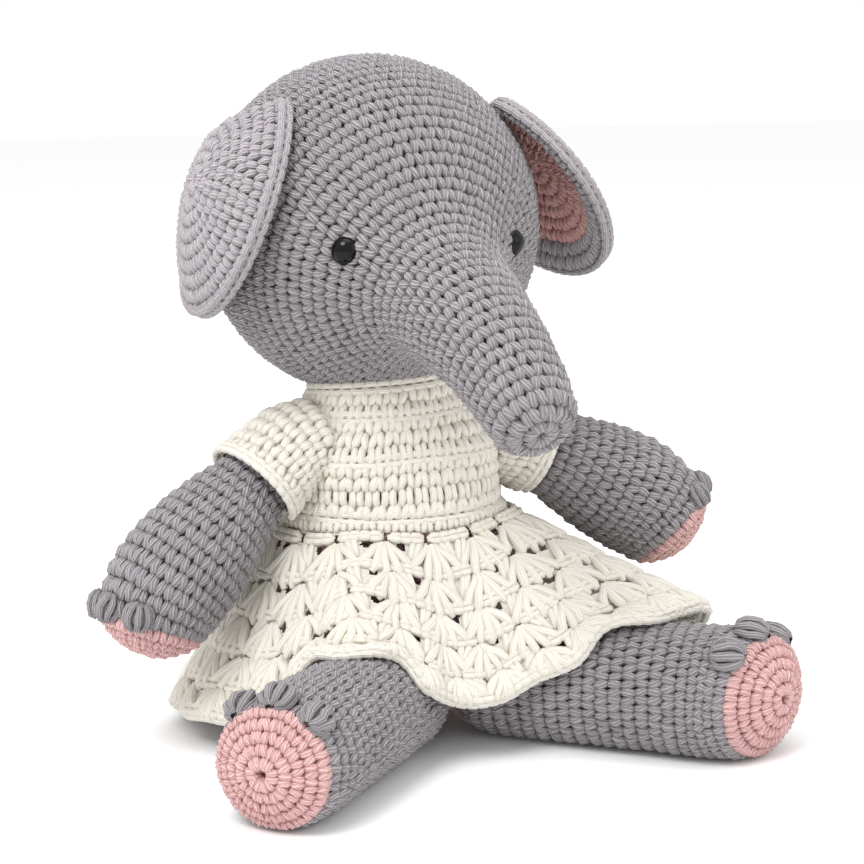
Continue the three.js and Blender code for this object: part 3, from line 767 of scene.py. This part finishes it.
class ELEPHANT_OT_body(bpy.types.Operator):
    """Crochet the pink body under the dress"""

    bl_idname = "elephant.body"
    bl_label = "Body"

    def execute(self, context):
        size, mats = ready()
        steps = np.arange(0.5, 119, 1.5)
        pairs = [(0, 0.02), (0.05, 10), (0.2, 20.5), *zip(steps, ease(TORSO, steps))]
        tube = Tube([(0, 0, 0), (0, 0, 60), (0, 0, 125)], pairs, (0, -1, 0), (TORSO_DEPTH, 1.0))
        yarn = Yarn()
        yarn.rounds(tube, 0.9, tube.length - 4.0, size, low=0.9)
        skin = cloth("body_cloth", [backing(tube, 0.02, tube.length, size.sink + 0.9)], mats["pink wool backing"])
        finish_piece(skin, "torso", ["body_cover", "body_stuffing"])
        finish_piece(yarn.make("body_yarn", mats["pink wool yarn"]), "torso", [])
        return {"FINISHED"}


EAR_RADIUS = 38.0
EAR_OFF_HEAD = 5.9
EAR_THICK = 3.4
EAR_LINING = 32.0
EAR_CUT = 22.0  # from the middle of the disc to the sewn edge
EAR_DROOP = 1.12
EAR_FLARE = {"right": 6.0, "left": 24.0}  # degrees out from the head


class ELEPHANT_OT_ears(bpy.types.Operator):
    """Crochet the ears, grey outside with a pink lining"""

    bl_idname = "elephant.ears"
    bl_label = "Ears"

    def execute(self, context):
        size, mats = ready()
        ball = HEAD_RADIUS + EAR_OFF_HEAD
        for side in SIDES:
            sign = SIGN[side]
            out = unit(np.array([sign * 0.965, 0.02, 0.262]))
            line = np.array([sign * -0.099, -0.896, 0.432])
            line = unit(line - out * line.dot(out))
            down = unit(np.cross(out, line)) * sign
            hinge = out * (ball - 8) - down * EAR_CUT
            turn = math.radians(EAR_FLARE[side] * sign)

            def place(points, out=out, line=line, down=down, hinge=hinge, turn=turn):
                """Disc shape to ear shape: drooped, cut where it is sewn, swung out about its seam."""
                local = points - out * ball
                a, n, b = local @ line, local @ out, local @ down
                b = np.where(b > 0, b * EAR_DROOP, b)
                b = np.where(b < -EAR_CUT + 2, -EAR_CUT + 2 + (b + EAR_CUT - 2) * 0.12, b)
                v = out * ball + a[..., None] * line + n[..., None] * out + b[..., None] * down - hinge
                c, s = math.cos(turn), math.sin(turn)
                v = v * c + np.cross(line, v) * s + (v @ line)[..., None] * line * (1 - c)
                return v + hinge + HEAD

            radii = np.linspace(0.02, EAR_RADIUS, 60)
            drop = ball - np.sqrt(ball**2 - radii**2)
            outer = list(zip(drop, radii))
            edge = drop[-1]
            bend = np.linspace(0, math.pi, 9)[1:-1]
            rim = [(edge + EAR_THICK / 2 * (1 - math.cos(a)), EAR_RADIUS + 1.6 * math.sin(a)) for a in bend]
            inner = [(d + EAR_THICK, r) for d, r in zip(drop[::-1], radii[::-1])]
            tube = Tube([out * ball, out * (ball - 30)], outer + rim + inner, line, warp=place)
            seam = -EAR_CUT * 1.06

            def keep(point, down=down, hinge=hinge, line=line, turn=turn):
                """Stitches past the sewn edge are left out."""
                v = point - HEAD - hinge
                c, s = math.cos(-turn), math.sin(-turn)
                v = v * c + np.cross(line, v) * s + v.dot(line) * line * (1 - c) + hinge
                return v.dot(down) > seam

            split = tube.length - EAR_LINING
            grey, pink = Yarn(), Yarn()
            grey.rounds(tube, 1.0, split, size, keep, low=1.0)
            pink.rounds(tube, split, tube.length - 1.0, size, keep, low=1.35)
            grey.edging(tube, float(tube.skin[len(outer) + len(rim) // 2]), size, keep, wide=1.15)
            body = f"ear_{side}"
            under = backing(tube, 0.02, tube.length - 0.02, 0.9)
            skin = cloth(f"ear_{side}_cloth", [under], mats["brushed grey wool backing"])
            finish_piece(skin, body, [f"ear_back_{side}"])
            made = grey.make(f"ear_{side}_yarn", mats["brushed grey wool yarn"])
            finish_piece(made, body, [f"ear_rim_{side}"])
            made = pink.make(f"ear_lining_{side}_yarn", mats["dusty pink wool yarn"])
            finish_piece(made, body, [f"ear_lining_{side}"])
        return {"FINISHED"}


# ---------------------------------------------------------------- dress
LACE_SUNK = 0.45  # how deep the strands sit in the dress cloth
EDGE_PITCH = 3.9
EDGE_WIDE = 1.5
# the hem's outline: (degrees round from the front, radius, height)
HEM = [(-180, 76, 6), (-140, 74, 6), (-105, 76, 7), (-80, 78, 11), (-58, 78, 16), (-46, 79, 27), (-38, 79, 38),
       (-20, 72, 33), (-4, 70, 22), (14, 74, 25), (28, 88, 38), (40, 103, 46), (54, 113, 44), (72, 115, 30),
       (95, 106, 12), (130, 86, 6), (180, 76, 6)]
# the legs the skirt lies over: (hip, foot, radius) seen from above
LEG_LINES = [((-18, -43), (-90, -106.5), 20.2), ((27, -43), (98.5, -111), 21.8)]
WAIST = 79.0
SKIRT_TOP = WAIST - 1.7
HEM_AT = 0.985  # where the cloth ends and its edging begins


def step_up(x, low, high):
    """Smooth step."""
    t = np.clip((x - low) / (high - low), 0, 1)
    return t * t * (3 - 2 * t)


def skirt_point(degrees, t):
    """The skirt's middle surface: t is 0 at the waist and 1 at the hem."""
    degrees = (np.asarray(degrees, float) + 180) % 360 - 180
    t = np.asarray(t, float)
    rim = ease([(a, r) for a, r, _ in HEM], degrees)
    low = ease([(a, z) for a, _, z in HEM], degrees)
    a = np.radians(degrees)
    waist = float(ease(TORSO, np.array([WAIST]))[0]) + 2.0
    ruffle = 1.6 + 1.5 * np.sin(a * 17 + 1.3 * np.sin(3 * a)) + 0.7 * np.sin(a * 29 + 2)
    r = waist + (rim - waist) * t + step_up(t, 0.45, 1.0) * ruffle
    flat = TORSO_DEPTH + (1 - TORSO_DEPTH) * np.minimum(t * 2, 1)
    x, y = r * np.sin(a), -r * np.cos(a) * flat
    z = SKIRT_TOP + (low - SKIRT_TOP) * t
    for (ax, ay), (bx, by), radius in LEG_LINES:
        dx, dy = bx - ax, by - ay
        reach = math.hypot(dx, dy)
        along = ((x - ax) * dx + (y - ay) * dy) / reach
        across = np.abs((x - ax) * dy - (y - ay) * dx) / reach
        fall = step_up(np.hypot(across, np.maximum(-along, 0)), radius * 0.35, radius * 2.1)
        top = 2 * radius + 2.0
        z = np.maximum(z, top - fall * (top - 4))
    z = z + step_up(t, 0.7, 1.0) * 0.35 * (1 + np.sin(a * 23 + 0.7))
    return np.stack([x, y, z], -1)


def skirt_normal(degrees, t):
    """Outward direction of the skirt."""
    around = skirt_point(degrees + 1.0, t) - skirt_point(degrees - 1.0, t)
    along = skirt_point(degrees, t + 0.015) - skirt_point(degrees, t - 0.015)
    return -unit(np.cross(around, along))


# (height above the waist, radius) of the bodice
YOKE = [(0, 40.0), (8, 38.2), (16, 35.4), (24, 32.8), (32, 30.4), (40, 28.0), (48, 25.8)]
BODICE_TALL = 44.0
SHOULDER_SWELL = 5.5


def yoke_radius(z, a):
    """Radius of the bodice, which swells at the shoulders to meet the fronts and backs of the sleeves."""
    return ease(YOKE, z - WAIST) + SHOULDER_SWELL * np.sin(2 * a) ** 2 * np.exp(-(((z - 99.0) / 11.0) ** 2))


def bodice_point(degrees, t):
    """The bodice's middle surface: t is 0 at the neck edge, tucked under the head, and 1 at the waist."""
    a = np.radians(degrees)
    rim = np.stack([26.5 * np.sin(a), -26.5 * np.cos(a) * TORSO_DEPTH], -1)
    away = np.linalg.norm(rim - HEAD[:2], axis=-1)
    neck = HEAD[2] - np.sqrt(HEAD_RADIUS**2 - away**2) - 3.2
    z = neck + (WAIST - neck) * np.asarray(t, float)
    r = yoke_radius(z, a)
    return np.stack([r * np.sin(a), -r * np.cos(a) * TORSO_DEPTH, z], -1)


def bodice_normal(degrees, t):
    """Outward direction of the bodice."""
    around = bodice_point(degrees + 1.0, t) - bodice_point(degrees - 1.0, t)
    along = bodice_point(degrees, t + 0.02) - bodice_point(degrees, t - 0.02)
    return -unit(np.cross(around, along))


def sleeve_tube(side):
    """The cap sleeve over the top of an arm."""
    shoulder = np.array(ARMS[side][-1], float)
    along = unit(np.array(ARMS[side][-2], float) - shoulder)
    inner = np.array([shoulder[0] * 0.45, -3.5, 106.0])
    line = smooth([inner, shoulder - along * 2, shoulder + along * 17.2], 20)
    reach = float(np.linalg.norm(np.diff(line, axis=0), axis=1).sum())
    pairs = [(0, 10.3), (reach * 0.25, 13.2), (reach * 0.5, 14.9), (reach * 0.8, 15.5), (reach, 15.7)]
    return Tube(line, pairs, (0, -1, 0), (1.3, 1.0))


def from_axis(tube, point):
    """How far out a point is in a tube, as a share of its radius, and how far along it is."""
    centre, top, side = tube.table[:, :3], tube.table[:, 3:6], tube.table[:, 6:9]
    k = int(np.argmin(np.linalg.norm(centre - point, axis=1)))
    v = point - centre[k]
    a = v @ top[k] / (top[k] @ top[k])
    b = v @ side[k] / (side[k] @ side[k])
    return math.hypot(a, b) / tube.table[k, 9], k / (len(centre) - 1)


class Lace:
    """Tall stitches, fans, edging and holes laid out on a surface read in degrees and t."""

    def __init__(self, place, out, size):
        self.place, self.out, self.size = place, out, size
        self.yarn = Yarn()
        self.holes = []
        self.high = 1.0

    def ring(self, t):
        """Degrees at even steps of real length around the surface, and that length."""
        degrees = np.linspace(-180, 180, 721)
        points = self.place(degrees, np.full(721, float(t)))
        run = np.concatenate([[0], np.cumsum(np.linalg.norm(np.diff(points, axis=0), axis=1))])
        return (lambda s: np.interp(np.asarray(s) % run[-1], run, degrees)), run[-1]

    def drop(self, t0, t1):
        """Mean length between two t values."""
        degrees = np.linspace(-180, 180, 37)
        gap = self.place(degrees, np.full(37, float(t1))) - self.place(degrees, np.full(37, float(t0)))
        return float(np.linalg.norm(gap, axis=1).mean())

    def strand(self, degrees, t, lift, radii, keep=None):
        """One strand."""
        degrees, t = np.asarray(degrees, float), np.asarray(t, float)
        turn = degrees[0] + (degrees - degrees[0] + 180) % 360 - 180
        points = self.place(turn, t) + self.out(turn, t) * (np.asarray(lift, float) - LACE_SUNK)[:, None]
        if keep is None or keep(points[len(points) // 2]):
            self.yarn.add(points, radii)

    def hole(self, s, ring, t, wide, tall, drop):
        """A hole through the backing, kept in degrees and t."""
        at, whole = ring
        self.holes.append((float(at(s)), t, wide / whole * 360 / 2, tall / drop / 2))

    def solid(self, uv):
        """Whether the backing is there at a grid place."""
        degrees, t = uv[0] * 360 - 180, self.high * uv[1]
        for a, at, wide, tall in self.holes:
            if abs(at - t) < tall:
                off = (degrees - a + 180) % 360 - 180
                if (off / wide) ** 2 + ((t - at) / tall) ** 2 < 1:
                    return False
        return True

    def braid(self, t, t_unit, keep, lift, wide=1.7):
        """A row of small V stitches that edges a row."""
        at, whole = self.ring(t)
        n = int(whole / BRAID_PITCH)
        for i in range(n):
            s = i * whole / n
            for hand in (-1, 1):
                x = BRAID_ACROSS * BRAID_PITCH + s + RNG.normal(0, 0.12)
                y = hand * wide * np.array([0.1, 0.75, 0.8, 0.1]) / t_unit
                lifts = lift * np.array([0.4, 1.05, 1.0, 0.3]) + RNG.normal(0, 0.08)
                self.strand(at(x), t + y, lifts, self.size.dress_yarn * np.array([0.75, 1.05, 1.05, 0.75]), keep)

    def fans(self, t0, t1, shift, posts=5, pitch=None, lift=1.0, between=0.55):
        """A row of fans, each spreading down from one point, with holes above and beside it."""
        pitch = pitch or self.size.fan
        at, whole = self.ring((t0 + t1) / 2)
        rise = self.drop(t0, t1) / (t1 - t0)
        n = int(round(whole / pitch))
        width = whole / n
        for i in range(n):
            s = (i + shift) * width + RNG.normal(0, 0.6)
            for j in range(posts):
                f = (j - (posts - 1) / 2) / ((posts - 1) / 2)
                x = s + f * width * np.array([0.07, 0.17, 0.33, 0.44, 0.48]) + RNG.normal(0, 0.4, 5)
                sag = 0.24 * (1 - f * f)
                y = np.array([0.20, 0.38, 0.66, 0.90, 1.03]) + sag * np.array([0, 0.25, 0.6, 1, 1])
                y = y + RNG.normal(0, 0.02)
                lifts = lift * np.array([0.3, 0.9, 1.2, 1.1, 0.0]) + RNG.normal(0, 0.2)
                radii = self.size.dress_yarn * np.array([0.95, 1.2, 1.42, 1.36, 0.95]) * RNG.uniform(0.92, 1.08)
                self.strand(at(x), t0 + (t1 - t0) * y, lifts, radii)
            wide, tall = RNG.uniform(4.0, 5.6), RNG.uniform(3.8, 5.0)
            self.hole(s, (at, whole), t0, wide, tall, rise)
            for hand in (-1, 1):
                if RNG.random() < between:
                    wide, tall = RNG.uniform(3.4, 5.2), RNG.uniform(3.2, 4.8)
                    self.hole(s + hand * 0.35 * width, (at, whole), t0 + 0.26 * (t1 - t0), wide, tall, rise)
                    continue
                for f in (0.14, 0.30):
                    x = s + hand * width * (0.5 - f * np.array([1.0, 0.8, 0.45, 0.1])) + RNG.normal(0, 0.2, 4)
                    y = t0 + (t1 - t0) * (np.array([0.0, 0.24, 0.5, 0.74]) + RNG.normal(0, 0.02))
                    lifts = np.array([0.0, 0.7, 0.8, 0.0]) + RNG.normal(0, 0.15)
                    self.strand(at(x), y, lifts, self.size.dress_yarn * np.array([0.9, 1.1, 1.05, 0.8]))

        def open_at(s, y):
            """Whether an edging stitch would cover a hole."""
            a = float(at(s))
            return any(
                abs(y - t) < tall * 1.1 and abs((a - degrees + 180) % 360 - 180) < wide
                for degrees, t, wide, tall in self.holes
            )

        self.edge(t0, at, whole, rise, open_at)

    def edge(self, t, at, whole, rise, open_at):
        """The braided top of a row, left open over its holes."""
        n = int(whole / EDGE_PITCH)
        for i in range(n):
            s = i * whole / n
            if open_at(s, t):
                continue
            for hand in (-1, 1):
                x = np.array([-0.7, -0.25, 0.25, 0.7]) * EDGE_PITCH + s
                y = t + hand * EDGE_WIDE * np.array([0.1, 0.8, 0.8, 0.15]) / rise
                lifts = np.array([0.3, 1.3, 1.25, 0.2]) + RNG.normal(0, 0.1)
                self.strand(at(x), y, lifts, self.size.dress_yarn * np.array([0.7, 1.0, 1.0, 0.7]))

    def vees(self, t0, t1, pitch, keep=None, shift=0.0):
        """A row of single crochet worked into the dress."""
        at, whole = self.ring((t0 + t1) / 2)
        n = int(round(whole / pitch))
        step = whole / n
        across, up, lift, plump = V_STITCH.T
        for i in range(n):
            x = (i + shift + RNG.normal(0, 0.05)) * step + step * (across * 1.1 + 0.12 * (up - 0.5))
            y = t1 - (t1 - t0) * (up + RNG.normal(0, 0.04))
            lifts = lift * 0.75 + 0.5 + RNG.normal(0, 0.12)
            self.strand(at(x), y, lifts, self.size.dress_yarn * plump * 1.04 * RNG.uniform(0.92, 1.08), keep)

    def posts(self, t0, t1, pitch, slit, keep=None, shift=0.0):
        """A row of tall stitches with a slit beside each."""
        at, whole = self.ring((t0 + t1) / 2)
        rise = self.drop(t0, t1) / abs(t1 - t0)
        n = int(round(whole / pitch))
        step = whole / n
        for i in range(n):
            s = (i + shift) * step + RNG.normal(0, 0.15)
            for hand in (-1, 1):
                x = s + hand * np.array([1.4, 1.15, 1.0, 1.25, 1.6]) * pitch / 5.4
                y = t0 + (t1 - t0) * np.array([-0.04, 0.24, 0.5, 0.76, 1.03])
                lifts = np.array([0.2, 1.1, 1.35, 1.15, 0.2]) + RNG.normal(0, 0.1)
                self.strand(at(x), y, lifts, self.size.dress_yarn * np.array([0.85, 1.08, 1.12, 1.1, 0.85]), keep)
            if slit:
                self.hole(s + step / 2, (at, whole), (t0 + t1) / 2, 2.0, 3.8 + RNG.normal(0, 0.5), rise)


class ELEPHANT_OT_bodice(bpy.types.Operator):
    """Crochet the bodice with its slit rows and cap sleeves"""

    bl_idname = "elephant.bodice"
    bl_label = "Bodice and sleeves"

    def execute(self, context):
        size, mats = ready()
        sleeves = [sleeve_tube(side) for side in SIDES]

        def clear(point):
            """Outside both armholes."""
            shares = [from_axis(s, point) for s in sleeves]
            return all(share > 0.62 or along < 0.35 for share, along in shares)

        lace = Lace(bodice_point, bodice_normal, size)
        tall = BODICE_TALL
        lace.braid(1.0 / tall, tall, clear, 1.5)
        for start, shift in ((2.4, 0.0), (11.6, 0.5), (15.9, 0.1), (25.4, 0.6), (29.8, 0.0), (39.6, 0.5)):
            lace.vees(start / tall, (start + 4.6) / tall, size.pitch, clear, shift)
        for start, shift in ((6.6, 0.2), (20.2, 0.4), (34.2, 0.0)):
            lace.posts(start / tall, (start + 5.4) / tall, size.post, True, clear, shift)
        for start in (10.9, 24.8, 43.8):
            lace.braid(start / tall, tall, clear, 1.3)

        def place(u, v):
            return bodice_point(u * 360 - 180, v)

        def keep(uv):
            return lace.solid(uv) and clear(place(np.array(uv[0]), np.array(uv[1])))

        parts = [grid(place, 330, 50, keep)]
        for tube in sleeves:

            def free(point):
                """Outside the body of the dress."""
                x, y = point[0], -point[1] / TORSO_DEPTH
                r = float(yoke_radius(np.array([point[2]]), math.atan2(x, y))[0]) + 0.3
                return math.hypot(x, y) > r and point[2] > 80

            lace.yarn.rounds(tube, 1.5, tube.length - 2.2, size, free, low=0.7)
            lace.yarn.edging(tube, tube.length - 1.2, size, free, round_by=1.2)

            def sleeve_keep(uv, tube=tube):
                return free(tube.point(np.array([uv[1] * tube.length]), np.array([uv[0] * 2 * math.pi]))[0])

            def sleeve_place(u, v, tube=tube):
                p, a = v * tube.length, u * 2 * math.pi
                return tube.point(p, a) - tube.normal(p, a) * 0.5

            parts.append(grid(sleeve_place, 72, 24, sleeve_keep))
        skin = cloth("bodice_cloth", parts, mats["white cotton backing"])
        yarn = lace.yarn.make("bodice_yarn", mats["white cotton yarn"])
        finish_piece(skin, "torso", ["dress_bodice"])
        finish_piece(yarn, "torso", [])
        return {"FINISHED"}


class ELEPHANT_OT_skirt(bpy.types.Operator):
    """Crochet the lace skirt in rows of fans with its ruffled hem"""

    bl_idname = "elephant.skirt"
    bl_label = "Skirt and hem"

    def execute(self, context):
        size, mats = ready()
        lace = Lace(skirt_point, skirt_normal, size)
        at, whole = lace.ring(0.05)
        rise = lace.drop(0.0, 0.1) / 0.1
        n = int(round(whole / 13.5))
        for i in range(n):
            lace.hole((i + 0.3) * whole / n, (at, whole), 0.065, 5.6, 1.7, rise)
        rows = np.array([0.10, 0.30, 0.49, 0.67, 0.84])
        lace.posts(-0.005, 0.05, 5.0, False)
        for k, (t0, t1) in enumerate(zip(rows[:-1], rows[1:])):
            lace.fans(t0, t1, 0.5 * (k % 2))
        lace.fans(0.85, HEM_AT, 0.5 * (len(rows) % 2), posts=6, pitch=size.fan * 0.95, lift=1.15, between=0.3)
        edge, around = lace.ring(0.99)
        drop = lace.drop(0.9, 1.0) / 0.1
        n = int(around / EDGE_PITCH)
        for i in range(n):
            for hand in (-1, 1):
                x = (i + BRAID_ACROSS) * around / n
                y = HEM_AT + hand * EDGE_WIDE * np.array([0.1, 0.8, 0.8, 0.1]) / drop
                lace.strand(edge(x), y, [0.4, 1.4, 1.3, 0.3], size.dress_yarn * np.array([0.8, 1.1, 1.1, 0.8]))
                lace.strand(edge(x + 2), y + 1.3 / drop, [0.2, 0.0, -0.3, 0.1], np.full(4, size.dress_yarn * 1.1))

        def place(u, v):
            return skirt_point(u * 360 - 180, v * HEM_AT)

        lace.high = HEM_AT
        skin = cloth("skirt_cloth", [grid(place, 460, 66, lace.solid)], mats["white cotton backing"])
        yarn = lace.yarn.make("skirt_yarn", mats["white cotton yarn"])
        finish_piece(skin, "torso", ["dress_skirt", "dress_hem"])
        finish_piece(yarn, "torso", [])
        return {"FINISHED"}


# ---------------------------------------------------------------- stage
CAMERA_TURN = -25.0
CAMERA_RISE = 10.5
CAMERA_FAR = 800.0
CAMERA_FOV = 22.0
TARGET = np.array([10.6, -15.1, 105.0])
FLOOR_HALF_M = 4.0
FLOOR_HEIGHT = -1.2
# name, degrees round from the front, degrees up, distance in m, width in m, watts
LAMPS = [
    ("key", -60, 52, 1.5, 0.7, 13),
    ("fill", 40, 25, 1.6, 1.2, 3),
    ("top", 10, 85, 1.4, 1.0, 5),
]


def aim(obj, turn, rise, far):
    """Places a lamp or camera round the elephant, facing it."""
    a, e = math.radians(turn), math.radians(rise)
    way = Vector((math.sin(a) * math.cos(e), -math.cos(a) * math.cos(e), math.sin(e)))
    obj.location = Vector(TARGET * MM) + way * far
    obj.rotation_euler = way.to_track_quat("Z", "Y").to_euler()
    bpy.context.scene.collection.objects.link(obj)


def lamp(name, turn, rise, far, wide, watts):
    """A soft area light aimed at the elephant."""
    light = bpy.data.lights.new(name, "AREA")
    light.shape = "DISK"
    light.size = wide
    light.energy = watts
    aim(bpy.data.objects.new(name, light), turn, rise, far)


class ELEPHANT_OT_stage(bpy.types.Operator):
    """Set the pale floor, the soft lights and the camera"""

    bl_idname = "elephant.stage"
    bl_label = "Stage"

    def execute(self, context):
        _, mats = ready()
        bm = bmesh.new()
        bmesh.ops.create_grid(bm, x_segments=8, y_segments=8, size=FLOOR_HALF_M)
        bmesh.ops.translate(bm, vec=(0, 0, FLOOR_HEIGHT * MM), verts=bm.verts)
        mesh = bpy.data.meshes.new("floor")
        bm.to_mesh(mesh)
        bm.free()
        mesh.materials.append(mats["studio floor"])
        link("floor", mesh)
        world = bpy.data.worlds.new("studio")
        world.use_nodes = True
        back = world.node_tree.nodes["Background"]
        back.inputs["Color"].default_value = (1.0, 1.0, 1.0, 1.0)
        back.inputs["Strength"].default_value = 1.0
        bpy.context.scene.world = world
        bpy.context.scene.view_settings.view_transform = "Standard"
        for setting in LAMPS:
            lamp(*setting)
        camera = bpy.data.cameras.new("camera")
        camera.angle = math.radians(CAMERA_FOV)
        obj = bpy.data.objects.new("camera", camera)
        aim(obj, CAMERA_TURN, CAMERA_RISE, CAMERA_FAR * MM)
        bpy.context.scene.camera = obj
        return {"FINISHED"}


# ---------------------------------------------------------------- add-on
class ELEPHANT_PT_panel(bpy.types.Panel):
    """Every step of the elephant, in order"""

    bl_idname = "ELEPHANT_PT_panel"
    bl_label = "Crocheted elephant"
    bl_space_type = "VIEW_3D"
    bl_region_type = "UI"
    bl_category = "Elephant"

    def draw(self, context):
        column = self.layout.column()
        for operator in OPERATORS:
            column.operator(operator.bl_idname)
        for group in (context.scene.elephant_sizes, context.scene.elephant_colours):
            for name in group.__annotations__:
                column.prop(group, name)


OPERATORS = (
    ELEPHANT_OT_head,
    ELEPHANT_OT_eyes,
    ELEPHANT_OT_ears,
    ELEPHANT_OT_body,
    ELEPHANT_OT_limbs,
    ELEPHANT_OT_bodice,
    ELEPHANT_OT_skirt,
    ELEPHANT_OT_stage,
)
CLASSES = (ElephantSizes, ElephantColours, *OPERATORS, ELEPHANT_PT_panel)


def register():
    """Adds the classes and their settings."""
    for cls in CLASSES:
        bpy.utils.register_class(cls)
    bpy.types.Scene.elephant_sizes = bpy.props.PointerProperty(type=ElephantSizes)
    bpy.types.Scene.elephant_colours = bpy.props.PointerProperty(type=ElephantColours)


def unregister():
    """Takes the classes and their settings away."""
    del bpy.types.Scene.elephant_colours
    del bpy.types.Scene.elephant_sizes
    for cls in reversed(CLASSES):
        bpy.utils.unregister_class(cls)


def main():
    """Builds everything."""
    register()
    for operator in OPERATORS:
        space, name = operator.bl_idname.split(".")
        getattr(getattr(bpy.ops, space), name)()


if __name__ == "__main__":
    main()
